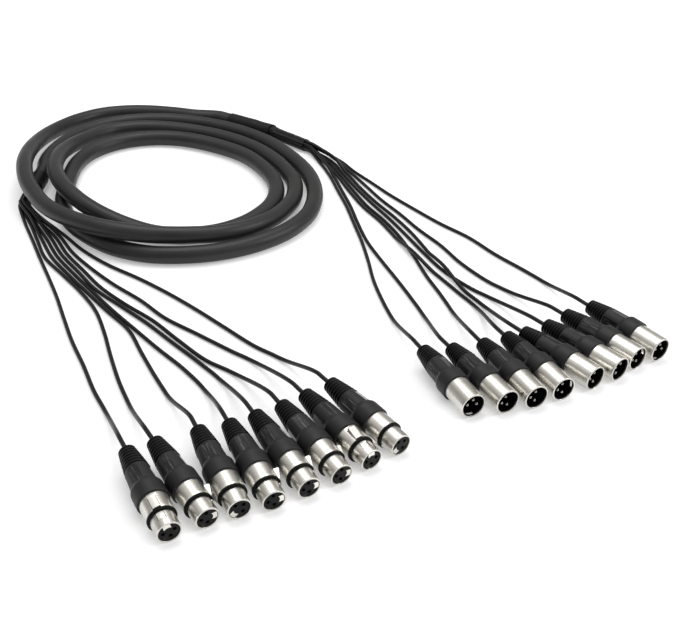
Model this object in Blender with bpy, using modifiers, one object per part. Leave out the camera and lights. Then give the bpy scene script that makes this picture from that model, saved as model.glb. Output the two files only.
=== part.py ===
"""Eight-way XLR cable loom, lying coiled on a bench. Blender 4.5, metres, +Z up.

One thick multicore cable lies in a loose coil of a little over three turns. A shrink sleeve at each
end gathers eight thin tails. Eight tails end in socket plugs with release latches, and eight in pin
plugs. The origin is on the bench, under the middle of the plugs and sleeves. -Y is the near side.
"""
from math import atan2, cos, pi, radians, sin

import bmesh
import bpy
import numpy as np
from mathutils import Matrix, Vector

# Cables
TAIL_R = 0.0016
MULTICORE_R = 0.00775
CLEAR = 0.0003
BENCH_GAP = 0.0001
TAIL_POINT_STEP = 0.0190
COIL_POINTS_A_TURN = 24

# What every plug shares, measured along its axis from the tip of the boot
TURN_STEPS = 12
BOOT_TIP_R = 0.0028
RIB_FIRST_S = 0.0034
RIB_FIRST_R = 0.0047
RIB_LAST_R = 0.0079
RIB_COUNT = 5
RIB_HEIGHT = 0.0005
RIB_GROOVE_SHARE = 0.6
COLLAR_R = 0.0108
COLLAR_CHAMFER = 0.0006
PIN_CIRCLE_R = 0.00381
PIN_HOURS = (3, 6, 9)
LATCH_WIDTH = 0.0048

# Socket plug
SOCKET_LENGTH = 0.0775
SOCKET_BOOT_END = 0.0225
SOCKET_GRIP_R = (0.0093, 0.0095)
SOCKET_GRIP_END = 0.0370
SOCKET_COLLAR_START = 0.0382
SOCKET_COLLAR_END = 0.0508
SOCKET_SHELL_R = 0.0095
SOCKET_RING_END = 0.0652
SOCKET_NOSE_R = 0.0081
SOCKET_NOSE_WALL = 0.0011
SOCKET_NOSE_START = 0.0658
SOCKET_NECK_R = 0.0058
SOCKET_NECK_END = 0.0666
SOCKET_FACE_DEPTH = 0.0008
SOCKET_RIM_CHAMFER = 0.0004
CONTACT_HOLE_R = 0.0013
CONTACT_HOLE_DEPTH = 0.0040

# Release latch, a lever with a thumb pad and a tongue in a slot of the socket plug's shell. It steps
# down under the closed front of the nose, to a block in the mouth that it is hinged on.
LATCH_REAR = 0.0543
LATCH_PAD_END = 0.0620
LATCH_PAD_PROUD = (0.0033, 0.0006)
LATCH_SINK = 0.0001
LATCH_THICKNESS = 0.0006
LATCH_TOOTH = (0.0673, 0.0689)
LATCH_TOOTH_HEIGHT = 0.0009
LATCH_TONGUE_END = 0.0720
LATCH_BLOCK_LENGTH = 0.0022
LATCH_BLOCK_HEIGHT = 0.0015
LATCH_FRONT_GAP = 0.0003
LATCH_PIVOT_BACK = 0.0013
LATCH_PIVOT_DEPTH = 0.0007

# Pin plug
PIN_LENGTH = 0.0715
PIN_BOOT_END = 0.0212
PIN_GRIP_R = (0.0090, 0.0092)
PIN_GRIP_END = 0.0360
PIN_COLLAR_START = 0.0372
PIN_COLLAR_END = 0.0494
PIN_SHELL_R = 0.0095
PIN_BORE_R = 0.0083
PIN_RIM_CHAMFER = 0.0005
PIN_FACE = 0.0560
PIN_R = 0.0012
PIN_TIP_BACK = 0.0015
WINDOW_BACK = (0.0019, 0.0039)
WINDOW_WIDTH = LATCH_WIDTH + 2 * CLEAR
PIN_SINK = 0.0010

# Where each plug's boot tip lies (x, y), the way the plug points in degrees, and its key in clock
# hours, seen from in front of its mouth
SOCKET_PLUGS = (
    (-0.1076, -0.2604, -62.4, 11.5), (-0.0912, -0.2510, -58.2, 2.8),
    (-0.0646, -0.2384, -65.0, 7.7), (-0.0449, -0.2312, -64.3, 2.8),
    (-0.0285, -0.2216, -60.3, 2.8), (-0.0115, -0.2107, -57.6, 3.1),
    (0.0039, -0.1983, -54.2, 11.8), (0.0210, -0.1849, -52.0, 7.9))
PIN_PLUGS = (
    (0.0887, -0.1395, -64.2, 6.3), (0.1094, -0.1366, -61.1, 2.5),
    (0.1329, -0.1297, -63.8, 3), (0.1516, -0.1207, -62.3, 2.8),
    (0.1649, -0.1146, -51.2, 3), (0.1832, -0.1044, -49.6, 4),
    (0.2003, -0.0893, -50.8, 2.5), (0.2219, -0.0762, -53.5, 6.5))

# Shrink sleeves, from the multicore's side to the tails' side
JACKET_SLEEVE_R = 0.0085
BUNDLE_SLEEVE_R = 0.0060
SLEEVE_WALL = 0.00045
SLEEVE_SOCKET = 0.0120
SLEEVE_EDGE = 0.0005
PIN_SLEEVE_START = Vector((-0.0890, 0.3254, 0.0086))
PIN_SLEEVE_STEP = Vector((-0.0432, 0.2933, 0.0086))
PIN_SLEEVE_END = Vector((-0.0066, 0.2628, 0.0062))
SOCKET_SLEEVE_START = Vector((-0.2625, 0.1756, 0.0086))
SOCKET_SLEEVE_END = Vector((-0.2637, 0.1231, 0.0086))
SOCKET_SLEEVE_STEP_AT = 0.0250
SOCKET_SLEEVE_TAPER = 0.0030

# Tails leave a bundle sleeve round its middle: one in the centre, seven on a ring
BUNDLE_RING_R = 0.0042
BUNDLE_FIRST_ANGLE = -12.9
BUNDLE_LEAD = 0.006
BOOT_LEAD = 0.013

# The coil, read round its middle: turning angle in degrees, distance out and height of the centreline
COIL_MIDDLE = Vector((-0.1365, 0.1861, 0.0))
FLOOR_Z = MULTICORE_R + BENCH_GAP
COIL_STATIONS = (
    (88, 0.1550, FLOOR_Z), (96, 0.1630, FLOOR_Z), (105, 0.1735, FLOOR_Z),
    (113, 0.1820, FLOOR_Z), (121, 0.1870, FLOOR_Z), (130, 0.1840, 0.0084), (138, 0.1770, 0.0098),
    (147, 0.1670, 0.0125), (158, 0.1550, 0.0168), (169, 0.1460, 0.0208), (181, 0.1400, 0.0240),
    (190, 0.1375, 0.0252), (198, 0.1368, 0.0252), (207, 0.1370, 0.0246), (216, 0.1385, 0.0240),
    (226, 0.1424, 0.0239), (236, 0.1462, 0.0240), (248, 0.1508, 0.0244), (258, 0.1550, 0.0244),
    (268, 0.1569, 0.0230), (277, 0.1569, 0.0208), (286, 0.1570, 0.0186), (293, 0.1570, 0.0166),
    (300, 0.1560, 0.0150), (307, 0.1530, 0.0136), (315, 0.1480, 0.0118), (324, 0.1410, 0.0098),
    (334, 0.1343, 0.0082), (344, 0.1273, FLOOR_Z), (352, 0.1217, FLOOR_Z), (361, 0.1142, FLOOR_Z),
    (371, 0.1083, FLOOR_Z), (383, 0.1035, FLOOR_Z), (397, 0.1010, FLOOR_Z), (411, 0.1006, FLOOR_Z),
    (427, 0.1035, FLOOR_Z), (443, 0.1100, FLOOR_Z), (456, 0.1185, FLOOR_Z), (467, 0.1275, FLOOR_Z),
    (476, 0.1335, 0.0079), (485, 0.1360, 0.0082), (494, 0.1320, 0.0095), (505, 0.1255, 0.0125),
    (516, 0.1195, 0.0160), (529, 0.1135, 0.0200), (543, 0.1100, 0.0226), (553, 0.1090, 0.0236),
    (563, 0.1085, 0.0241), (576, 0.1100, 0.0242), (586, 0.1125, 0.0234), (596, 0.1152, 0.0208),
    (607, 0.1180, 0.0166), (619, 0.1220, 0.0118), (631, 0.1285, 0.0084), (643, 0.1350, FLOOR_Z),
    (655, 0.1370, FLOOR_Z), (667, 0.1338, FLOOR_Z), (678, 0.1275, FLOOR_Z), (686, 0.1223, FLOOR_Z),
    (695, 0.1153, FLOOR_Z), (704, 0.1082, FLOOR_Z), (714, 0.1000, FLOOR_Z), (726, 0.0920, FLOOR_Z),
    (740, 0.0860, FLOOR_Z), (757, 0.0820, FLOOR_Z), (779, 0.0805, FLOOR_Z), (800, 0.0855, FLOOR_Z),
    (816, 0.0925, FLOOR_Z), (830, 0.0985, FLOOR_Z), (845, 0.1030, FLOOR_Z), (859, 0.1045, FLOOR_Z),
    (871, 0.1035, FLOOR_Z), (885, 0.1005, FLOOR_Z), (899, 0.0980, FLOOR_Z), (911, 0.0987, FLOOR_Z),
    (923, 0.1040, FLOOR_Z), (938, 0.1150, FLOOR_Z), (954, 0.1300, FLOOR_Z), (967, 0.1428, FLOOR_Z),
    (979, 0.1560, FLOOR_Z), (990, 0.1655, FLOOR_Z), (1000, 0.1700, FLOOR_Z), (1010, 0.1727, FLOOR_Z),
    (1021, 0.1730, FLOOR_Z), (1033, 0.1705, FLOOR_Z), (1045, 0.1638, FLOOR_Z), (1055, 0.1550, FLOOR_Z),
    (1065, 0.1460, FLOOR_Z), (1075, 0.1376, FLOOR_Z), (1085, 0.1302, FLOOR_Z), (1096, 0.1240, FLOOR_Z),
    (1108, 0.1206, FLOOR_Z), (1123, 0.1206, FLOOR_Z), (1140, 0.1240, FLOOR_Z), (1155, 0.1295, FLOOR_Z),
    (1168, 0.1370, FLOOR_Z), (1178, 0.1440, FLOOR_Z), (1188, 0.1505, FLOOR_Z), (1200, 0.1550, FLOOR_Z),
    (1212, 0.1530, FLOOR_Z), (1224, 0.1460, FLOOR_Z), (1236, 0.1385, FLOOR_Z), (1248, 0.1318, FLOOR_Z))

# Each tail's way over the bench (x, y, height), from its sleeve to its plug. The middle of a tail on
# the bench is one radius up; a higher point passes over another tail.
LOW = TAIL_R + BENCH_GAP
OVER = 0.0055
SOCKET_TAILS = (
    ((-0.2566, 0.0886, LOW), (-0.2425, 0.0561, LOW), (-0.2288, 0.0236, LOW), (-0.2145, -0.0089, LOW),
     (-0.2005, -0.0419, LOW), (-0.1875, -0.0759, LOW), (-0.1745, -0.1089, LOW),
     (-0.1595, -0.1419, LOW), (-0.1455, -0.1749, LOW), (-0.1310, -0.2039, 0.0024)),
    ((-0.2527, 0.0901, LOW), (-0.2389, 0.0577, LOW), (-0.2247, 0.0249, LOW), (-0.2038, -0.0046, LOW),
     (-0.1830, -0.0336, LOW), (-0.1655, -0.0629, LOW), (-0.1525, -0.0959, LOW),
     (-0.1415, -0.1299, LOW), (-0.1295, -0.1639, LOW), (-0.1165, -0.1949, 0.0024)),
    ((-0.2509, 0.0909, 0.0064), (-0.2433, 0.0751, 0.0042), (-0.2353, 0.0593, LOW),
     (-0.2188, 0.0251, LOW), (-0.1983, -0.0056, LOW), (-0.1777, -0.0342, LOW), (-0.1560, -0.0639, LOW),
     (-0.1345, -0.0924, LOW), (-0.1195, -0.1249, LOW), (-0.1060, -0.1539, LOW),
     (-0.0915, -0.1829, 0.0024)),
    ((-0.2490, 0.0916, 0.0029), (-0.2317, 0.0609, LOW), (-0.2148, 0.0271, LOW),
     (-0.1947, -0.0032, LOW), (-0.1737, -0.0329, LOW), (-0.1522, -0.0626, LOW),
     (-0.1300, -0.0912, LOW), (-0.1075, -0.1199, LOW), (-0.0845, -0.1479, LOW),
     (-0.0650, -0.1779, 0.0024)),
    ((-0.2471, 0.0923, 0.0080), (-0.2376, 0.0775, 0.0042), (-0.2281, 0.0625, LOW),
     (-0.2112, 0.0296, LOW), (-0.1912, -0.0004, LOW), (-0.1713, -0.0299, LOW), (-0.1467, -0.0561, LOW),
     (-0.1215, -0.0829, LOW), (-0.0985, -0.1104, LOW), (-0.0740, -0.1394, LOW),
     (-0.0555, -0.1639, 0.0024)),
    ((-0.2451, 0.0931, LOW), (-0.2245, 0.0641, LOW), (-0.2075, 0.0319, LOW), (-0.1880, 0.0031, LOW),
     (-0.1673, -0.0269, LOW), (-0.1433, -0.0535, LOW), (-0.1175, -0.0789, LOW),
     (-0.0945, -0.1071, LOW), (-0.0707, -0.1347, LOW), (-0.0460, -0.1549, 0.0024)),
    ((-0.2428, 0.0941, 0.0040), (-0.2319, 0.0798, 0.0038), (-0.2209, 0.0657, LOW),
     (-0.2025, 0.0336, LOW), (-0.1810, 0.0051, LOW), (-0.1575, -0.0219, LOW), (-0.1315, -0.0479, LOW),
     (-0.1085, -0.0749, LOW), (-0.0815, -0.0979, LOW), (-0.0535, -0.1219, LOW),
     (-0.0335, -0.1389, 0.0024)),
    ((-0.2401, 0.0953, LOW), (-0.2171, 0.0675, LOW), (-0.1945, 0.0381, LOW), (-0.1685, 0.0121, LOW),
     (-0.1395, -0.0109, LOW), (-0.1125, -0.0349, LOW), (-0.0865, -0.0609, LOW),
     (-0.0615, -0.0879, LOW), (-0.0365, -0.1149, LOW), (-0.0135, -0.1349, 0.0024)))
PIN_TAILS = (
    ((0.0097, 0.2239, LOW), (0.0190, 0.1936, LOW), (0.0265, 0.1611, LOW), (0.0345, 0.1271, LOW),
     (0.0410, 0.0916, LOW), (0.0475, 0.0561, LOW), (0.0525, 0.0201, LOW), (0.0565, -0.0159, LOW),
     (0.0635, -0.0519, LOW), (0.0705, -0.0799, 0.0024)),
    ((0.0121, 0.2252, OVER), (0.0173, 0.2102, 0.0046), (0.0223, 0.1954, LOW), (0.0302, 0.1621, LOW),
     (0.0383, 0.1271, LOW), (0.0449, 0.0906, LOW), (0.0525, 0.0551, LOW), (0.0635, 0.0211, LOW),
     (0.0755, -0.0129, LOW), (0.0865, -0.0459, LOW), (0.0950, -0.0749, 0.0024)),
    ((0.0173, 0.2280, LOW), (0.0287, 0.1991, LOW), (0.0403, 0.1641, LOW), (0.0536, 0.1281, LOW),
     (0.0689, 0.0966, LOW), (0.0817, 0.0636, LOW), (0.0917, 0.0291, LOW), (0.1005, -0.0069, LOW),
     (0.1105, -0.0399, LOW), (0.1180, -0.0689, 0.0024)),
    ((0.0138, 0.2261, LOW), (0.0255, 0.1972, LOW), (0.0365, 0.1629, LOW), (0.0498, 0.1266, LOW),
     (0.0653, 0.0946, LOW), (0.0782, 0.0615, LOW), (0.0910, 0.0286, 0.0060), (0.1078, -0.0024, LOW),
     (0.1249, -0.0354, LOW), (0.1370, -0.0599, 0.0024)),
    ((0.0224, 0.2308, 0.0066), (0.0288, 0.2166, 0.0046), (0.0352, 0.2027, LOW), (0.0477, 0.1691, LOW),
     (0.0626, 0.1351, LOW), (0.0788, 0.1031, LOW), (0.0927, 0.0711, LOW), (0.1047, 0.0361, LOW),
     (0.1110, 0.0161, 0.0049), (0.1163, 0.0011, 0.0060), (0.1300, -0.0319, LOW),
     (0.1445, -0.0599, 0.0024)),
    ((0.0208, 0.2299, LOW), (0.0318, 0.2009, LOW), (0.0440, 0.1671, LOW), (0.0589, 0.1321, LOW),
     (0.0740, 0.0996, LOW), (0.0878, 0.0666, LOW), (0.1010, 0.0336, LOW), (0.1163, 0.0003, LOW),
     (0.1355, -0.0279, LOW), (0.1530, -0.0479, 0.0024)),
    ((0.0244, 0.2319, 0.0036), (0.0387, 0.2047, LOW), (0.0528, 0.1741, LOW), (0.0675, 0.1411, LOW),
     (0.0840, 0.1101, LOW), (0.0990, 0.0791, LOW), (0.1165, 0.0481, LOW), (0.1315, 0.0151, LOW),
     (0.1505, -0.0159, LOW), (0.1685, -0.0369, 0.0024)),
    ((0.0280, 0.2341, LOW), (0.0425, 0.2069, LOW), (0.0585, 0.1811, LOW), (0.0760, 0.1521, LOW),
     (0.0970, 0.1216, LOW), (0.1190, 0.0911, LOW), (0.1425, 0.0631, LOW), (0.1625, 0.0311, LOW),
     (0.1845, 0.0011, LOW), (0.1990, -0.0214, 0.0024)))
# The place in its sleeve of each tail, 0 in the centre and 1 to 7 round the ring
SOCKET_BUNDLE = (1, 7, 2, 0, 3, 6, 4, 5)
PIN_BUNDLE = (1, 2, 0, 7, 3, 6, 4, 5)


def start_scene():
    """Empty the scene and make one collection for the loom and one for its cutters."""
    for old in list(bpy.data.objects):
        bpy.data.objects.remove(old, do_unlink=True)
    found = []
    for name in ("xlr_cable_loom", "cutters"):
        group = bpy.data.collections.new(name)
        bpy.context.scene.collection.children.link(group)
        found.append(group)
    return found


LOOM, CUTTERS = start_scene()


def material(name, colour, roughness, metallic=0.0):
    made = bpy.data.materials.new(name)
    made.use_nodes = True
    shader = made.node_tree.nodes["Principled BSDF"]
    shader.inputs["Base Color"].default_value = (*colour, 1.0)
    shader.inputs["Roughness"].default_value = roughness
    shader.inputs["Metallic"].default_value = metallic
    made.diffuse_color = (*colour, 1.0)
    return made


BLACK_PLASTIC = material("black_plastic", (0.015, 0.015, 0.016), 0.45)
NICKEL = material("satin_nickel", (0.60, 0.58, 0.55), 0.28, 1.0)
JACKET = material("cable_jacket", (0.030, 0.030, 0.031), 0.55)
SHRINK = material("shrink_sleeve", (0.012, 0.012, 0.012), 0.65)


def link(name, data, group=LOOM, finish=None):
    made = bpy.data.objects.new(name, data)
    group.objects.link(made)
    if finish is not None:
        data.materials.clear()
        data.materials.append(finish)
    return made


def evaluated_mesh(source, name):
    """The mesh of an object with its modifiers done; the object itself is removed."""
    bpy.context.view_layer.update()
    made = bpy.data.meshes.new_from_object(source.evaluated_get(bpy.context.evaluated_depsgraph_get()))
    made.name = name
    bpy.data.objects.remove(source, do_unlink=True)
    return made


def turned(name, profile, closed=False):
    """Turn a profile of (distance along the axis, radius) pairs, mouth first, about +Z."""
    data = bpy.data.meshes.new(name)
    edges = [(i, i + 1) for i in range(len(profile) - 1)]
    if closed:
        edges.append((len(profile) - 1, 0))
    data.from_pydata([(radius, 0.0, along) for along, radius in profile], edges, [])
    made = link(name, data)
    screw = made.modifiers.new("turn", "SCREW")
    screw.axis = "Z"
    screw.steps = TURN_STEPS
    screw.render_steps = TURN_STEPS
    screw.use_merge_vertices = True
    screw.merge_threshold = 0.00001
    return made


def cutter(name, build, place=Matrix.Identity(4)):
    """A cutting or joining shape, kept out of the render."""
    data = bpy.data.meshes.new(name)
    shape = bmesh.new()
    build(shape)
    bmesh.ops.transform(shape, matrix=place, verts=shape.verts)
    shape.to_mesh(data)
    shape.free()
    made = link(name, data, CUTTERS)
    made.hide_render = True
    made.display_type = "WIRE"
    return made


def box_cutter(name, low, high):
    size = Vector(high) - Vector(low)
    middle = (Vector(high) + Vector(low)) / 2
    place = Matrix.Translation(middle) @ Matrix.Diagonal((*size, 1.0))
    return cutter(name, lambda shape: bmesh.ops.create_cube(shape, size=1.0), place)


def rod_cutter(name, radius, sides, low, high, hour):
    """A rod along +Z at one clock hour of the contacts' circle; the key is at 12."""
    turn = radians(30 * hour)
    place = Matrix.Translation((PIN_CIRCLE_R * cos(turn), PIN_CIRCLE_R * sin(turn), (low + high) / 2))

    def build(shape):
        bmesh.ops.create_cone(shape, cap_ends=True, segments=sides, radius1=radius, radius2=radius,
                              depth=high - low)
    return cutter(name, build, place)


def boolean(target, other, operation):
    step = target.modifiers.new(other.name, "BOOLEAN")
    step.operation = operation
    step.solver = "EXACT"
    step.object = other


def boot_profile(boot_end, grip_r, grip_end, collar_start, collar_end):
    """The black rear body from the collar's front face back to the tip of the boot."""
    pitch = (boot_end - RIB_FIRST_S) / RIB_COUNT
    rise = (RIB_LAST_R - RIB_FIRST_R) / RIB_COUNT
    profile = [(collar_end, COLLAR_R - COLLAR_CHAMFER), (collar_end - COLLAR_CHAMFER, COLLAR_R),
               (collar_start, COLLAR_R), (grip_end, grip_r[1]), (boot_end, grip_r[0])]
    for rib in reversed(range(RIB_COUNT)):
        ridge_s = RIB_FIRST_S + rib * pitch
        ridge_r = RIB_FIRST_R + rib * rise
        profile.append((ridge_s + RIB_GROOVE_SHARE * pitch, ridge_r - RIB_HEIGHT / 2))
        profile.append((ridge_s, ridge_r + RIB_HEIGHT / 2))
    profile += [(0.0, BOOT_TIP_R), (0.0, 0.0)]
    return profile


def socket_core_mesh():
    """Boot, collar and contact block of a socket plug, one black body."""
    insert_r = SOCKET_NOSE_R - SOCKET_NOSE_WALL - CLEAR
    face = SOCKET_LENGTH - SOCKET_FACE_DEPTH
    profile = [(face, 0.0), (face, insert_r), (SOCKET_NECK_END, insert_r),
               (SOCKET_NECK_END, SOCKET_NECK_R), (SOCKET_COLLAR_END, SOCKET_NECK_R)]
    profile += boot_profile(SOCKET_BOOT_END, SOCKET_GRIP_R, SOCKET_GRIP_END,
                            SOCKET_COLLAR_START, SOCKET_COLLAR_END)
    core = turned("socket_core", profile)
    for hour in PIN_HOURS:
        hole = rod_cutter("contact_hole_%d" % hour, CONTACT_HOLE_R, 6, face - CONTACT_HOLE_DEPTH,
                          SOCKET_LENGTH, hour)
        boolean(core, hole, "DIFFERENCE")
    half = LATCH_WIDTH / 2 + CLEAR
    floor = lever_top() - LATCH_BLOCK_HEIGHT - CLEAR
    notch = box_cutter("latch_notch", (floor, -half, SOCKET_NECK_END - CLEAR),
                       (COLLAR_R, half, SOCKET_LENGTH))
    boolean(core, notch, "DIFFERENCE")
    return evaluated_mesh(core, "socket_core")


def socket_shell_mesh():
    """Nickel shell of a socket plug: rear body with its ring, stepped down to the nose.

    The latch's slot is open as far as the tongue, and a groove inside the nose carries its lever.
    """
    bore = SOCKET_NOSE_R - SOCKET_NOSE_WALL
    rear = SOCKET_COLLAR_END + CLEAR
    profile = [(SOCKET_LENGTH, bore), (SOCKET_LENGTH, SOCKET_NOSE_R - SOCKET_RIM_CHAMFER),
               (SOCKET_LENGTH - SOCKET_RIM_CHAMFER, SOCKET_NOSE_R), (SOCKET_NOSE_START, SOCKET_NOSE_R),
               (SOCKET_RING_END, SOCKET_SHELL_R), (rear, SOCKET_SHELL_R), (rear, bore)]
    shell = turned("socket_shell", profile, closed=True)
    half = LATCH_WIDTH / 2 + CLEAR
    slot = box_cutter("latch_slot", (SOCKET_NECK_R, -half, LATCH_REAR - CLEAR),
                      (COLLAR_R + SOCKET_SHELL_R, half, LATCH_TONGUE_END + CLEAR))
    boolean(shell, slot, "DIFFERENCE")
    groove = box_cutter("latch_groove", (SOCKET_NECK_R, -half, LATCH_TONGUE_END),
                        (lever_top() + CLEAR, half, SOCKET_LENGTH + SOCKET_SHELL_R))
    boolean(shell, groove, "DIFFERENCE")
    return evaluated_mesh(shell, "socket_shell")


def latch_mesh():
    """Release latch cut from one side outline, with its origin on its hinge."""
    front = SOCKET_LENGTH - LATCH_FRONT_GAP
    block_rear = front - LATCH_BLOCK_LENGTH
    tongue_top = SOCKET_NOSE_R - LATCH_SINK
    tongue_under = tongue_top - LATCH_THICKNESS
    step_rear = LATCH_TONGUE_END - LATCH_THICKNESS
    lever_under = lever_top() - LATCH_THICKNESS
    block_under = lever_top() - LATCH_BLOCK_HEIGHT
    pad_rear, pad_front = (SOCKET_SHELL_R + proud for proud in LATCH_PAD_PROUD)
    outline = [(LATCH_REAR, tongue_under), (step_rear, tongue_under), (step_rear, lever_under),
               (block_rear, lever_under), (block_rear, block_under), (front, block_under),
               (front, lever_top()), (LATCH_TONGUE_END, lever_top()), (LATCH_TONGUE_END, tongue_top),
               (LATCH_TOOTH[1], tongue_top), (LATCH_TOOTH[0], tongue_top + LATCH_TOOTH_HEIGHT),
               (LATCH_TOOTH[0], tongue_top), (LATCH_PAD_END, tongue_top), (LATCH_PAD_END, pad_front),
               (LATCH_REAR, pad_rear)]
    data = bpy.data.curves.new("latch_outline", "CURVE")
    data.dimensions = "2D"
    data.fill_mode = "BOTH"
    data.extrude = LATCH_WIDTH / 2
    line = data.splines.new("POLY")
    line.points.add(len(outline) - 1)
    for point, (along, radius) in zip(line.points, outline):
        point.co = (along - latch_pivot()[1], radius - latch_pivot()[0], 0.0, 1.0)
    line.use_cyclic_u = True
    made = evaluated_mesh(link("latch_outline", data), "latch")
    shape = bmesh.new()
    shape.from_mesh(made)
    bmesh.ops.remove_doubles(shape, verts=shape.verts, dist=0.00001)
    swap = Matrix(((0, 1, 0, 0), (0, 0, 1, 0), (1, 0, 0, 0), (0, 0, 0, 1)))
    bmesh.ops.transform(shape, matrix=swap, verts=shape.verts)
    bmesh.ops.recalc_face_normals(shape, faces=shape.faces)
    shape.to_mesh(made)
    shape.free()
    return made


def lever_top():
    """Radius of the latch's top where it runs under the nose's closed front."""
    return SOCKET_NOSE_R - SOCKET_NOSE_WALL - CLEAR


def latch_pivot():
    """Radius and distance along the plug of the latch's hinge."""
    return lever_top() - LATCH_PIVOT_DEPTH, SOCKET_LENGTH - LATCH_PIVOT_BACK


def pin_core_mesh():
    """Boot, collar, contact block and three pins of a pin plug, one body."""
    insert_r = PIN_BORE_R - CLEAR
    profile = [(PIN_FACE, 0.0), (PIN_FACE, insert_r), (PIN_COLLAR_END, insert_r)]
    profile += boot_profile(PIN_BOOT_END, PIN_GRIP_R, PIN_GRIP_END, PIN_COLLAR_START, PIN_COLLAR_END)
    core = turned("pin_core", profile)
    for hour in PIN_HOURS:
        pin = rod_cutter("pin_%d" % hour, PIN_R, 6, PIN_FACE - PIN_SINK, PIN_LENGTH - PIN_TIP_BACK, hour)
        boolean(core, pin, "UNION")
    return evaluated_mesh(core, "pin_core")


def pin_shell_mesh():
    """Nickel shell of a pin plug: a plain tube with a window for the other plug's latch."""
    rear = PIN_COLLAR_END + CLEAR
    profile = [(PIN_LENGTH, PIN_BORE_R), (PIN_LENGTH, PIN_SHELL_R - PIN_RIM_CHAMFER),
               (PIN_LENGTH - PIN_RIM_CHAMFER, PIN_SHELL_R), (rear, PIN_SHELL_R), (rear, PIN_BORE_R)]
    shell = turned("pin_shell", profile, closed=True)
    half = WINDOW_WIDTH / 2
    window = box_cutter("latch_window", (PIN_CIRCLE_R + PIN_R, -half, PIN_LENGTH - WINDOW_BACK[1]),
                        (COLLAR_R, half, PIN_LENGTH - WINDOW_BACK[0]))
    boolean(shell, window, "DIFFERENCE")
    return evaluated_mesh(shell, "pin_shell")


def plug_frame(place, length, collar_end, mouth_r):
    """World matrix of a plug lying on its collar and its mouth: +Z to the mouth, +X to the key."""
    x, y, heading, hour = place
    tilt = atan2(COLLAR_R - mouth_r, length - collar_end)
    turn = radians(heading)
    axis = Vector((cos(turn) * cos(tilt), sin(turn) * cos(tilt), -sin(tilt)))
    height = COLLAR_R * cos(tilt) + collar_end * sin(tilt)
    up = (Vector((0, 0, 1)) - axis * axis.z).normalized()
    right = up.cross(axis)
    clock = radians(30 * hour)
    key = up * cos(clock) + right * sin(clock)
    side = axis.cross(key)
    frame = Matrix((key, side, axis)).transposed().to_4x4()
    frame.translation = Vector((x, y, height))
    return frame


def plug(name, frame, pieces):
    """An empty at the boot's tip that carries the plug's pieces."""
    carrier = link(name, None)
    carrier.matrix_world = frame
    for piece_name, data, offset in pieces:
        piece = link(piece_name, data)
        piece.parent = carrier
        piece.location = offset
        data.shade_smooth()
        data.set_sharp_from_angle(angle=radians(35))
    return carrier


def smooth_route(points, count, before=None, after=None):
    """Evenly spaced points on a centripetal Catmull-Rom curve through the given points.

    A point before the first or after the last sets which way the curve starts or ends.
    """
    knots = np.array([tuple(p) for p in points])
    first = 2 * knots[0] - knots[1] if before is None else np.array(before)
    last = 2 * knots[-1] - knots[-2] if after is None else np.array(after)
    ends = np.vstack((first, knots, last))
    fine = []
    for a, b, c, d in zip(ends[:-3], ends[1:-2], ends[2:-1], ends[3:]):
        t1 = np.linalg.norm(b - a) ** 0.5
        t2 = t1 + np.linalg.norm(c - b) ** 0.5
        t3 = t2 + np.linalg.norm(d - c) ** 0.5
        t = np.linspace(t1, t2, 24, endpoint=False)[:, None]
        ab = (t1 - t) / t1 * a + t / t1 * b
        bc = (t2 - t) / (t2 - t1) * b + (t - t1) / (t2 - t1) * c
        cd = (t3 - t) / (t3 - t2) * c + (t - t2) / (t3 - t2) * d
        abc = (t2 - t) / t2 * ab + t / t2 * bc
        bcd = (t3 - t) / (t3 - t1) * bc + (t - t1) / (t3 - t1) * cd
        fine.append((t2 - t) / (t2 - t1) * abc + (t - t1) / (t2 - t1) * bcd)
    fine = np.vstack(fine + [knots[-1:]])
    run = np.concatenate(([0.0], np.cumsum(np.linalg.norm(np.diff(fine, axis=0), axis=1))))
    wanted = np.linspace(0.0, run[-1], count)
    return np.column_stack([np.interp(wanted, run, fine[:, axis]) for axis in range(3)])


def route_length(points):
    return float(np.linalg.norm(np.diff(np.array([tuple(p) for p in points]), axis=0), axis=1).sum())


def tube(name, points, radius, resolution, finish):
    """A round cable along the points, as a closed mesh."""
    data = bpy.data.curves.new(name, "CURVE")
    data.dimensions = "3D"
    data.bevel_depth = radius
    data.bevel_resolution = resolution
    data.use_fill_caps = True
    line = data.splines.new("POLY")
    line.points.add(len(points) - 1)
    for knot, place in zip(line.points, points):
        knot.co = (*place, 1.0)
    return link(name, data, finish=finish)


def bundle_place(end, axis, slot):
    """Where a tail leaves a sleeve: the centre for slot 0, the ring for slots 1 to 7."""
    if slot == 0:
        return end.copy()
    right = axis.cross(Vector((0, 0, 1))).normalized()
    up = right.cross(axis)
    turn = radians(BUNDLE_FIRST_ANGLE + (slot - 1) * 360 / 7)
    return end + BUNDLE_RING_R * (right * cos(turn) + up * sin(turn))


def tail(name, end, axis, slot, way, frame):
    """One tail from its sleeve's end face to its plug's boot."""
    out = bundle_place(end, axis, slot) + axis * CLEAR
    back = -frame.col[2].to_3d()
    boot = frame.translation + back * CLEAR
    points = [out + axis * BUNDLE_LEAD, *(Vector(p) for p in way), frame.translation + back * BOOT_LEAD]
    count = round(route_length(points) / TAIL_POINT_STEP) + 1
    smooth = smooth_route(points, count, out, boot)
    smooth[:, 2] = np.maximum(smooth[:, 2], LOW)
    smooth = np.vstack((tuple(out), smooth, tuple(boot)))
    tube(name, smooth, TAIL_R, 2, JACKET)
    return smooth


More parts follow.
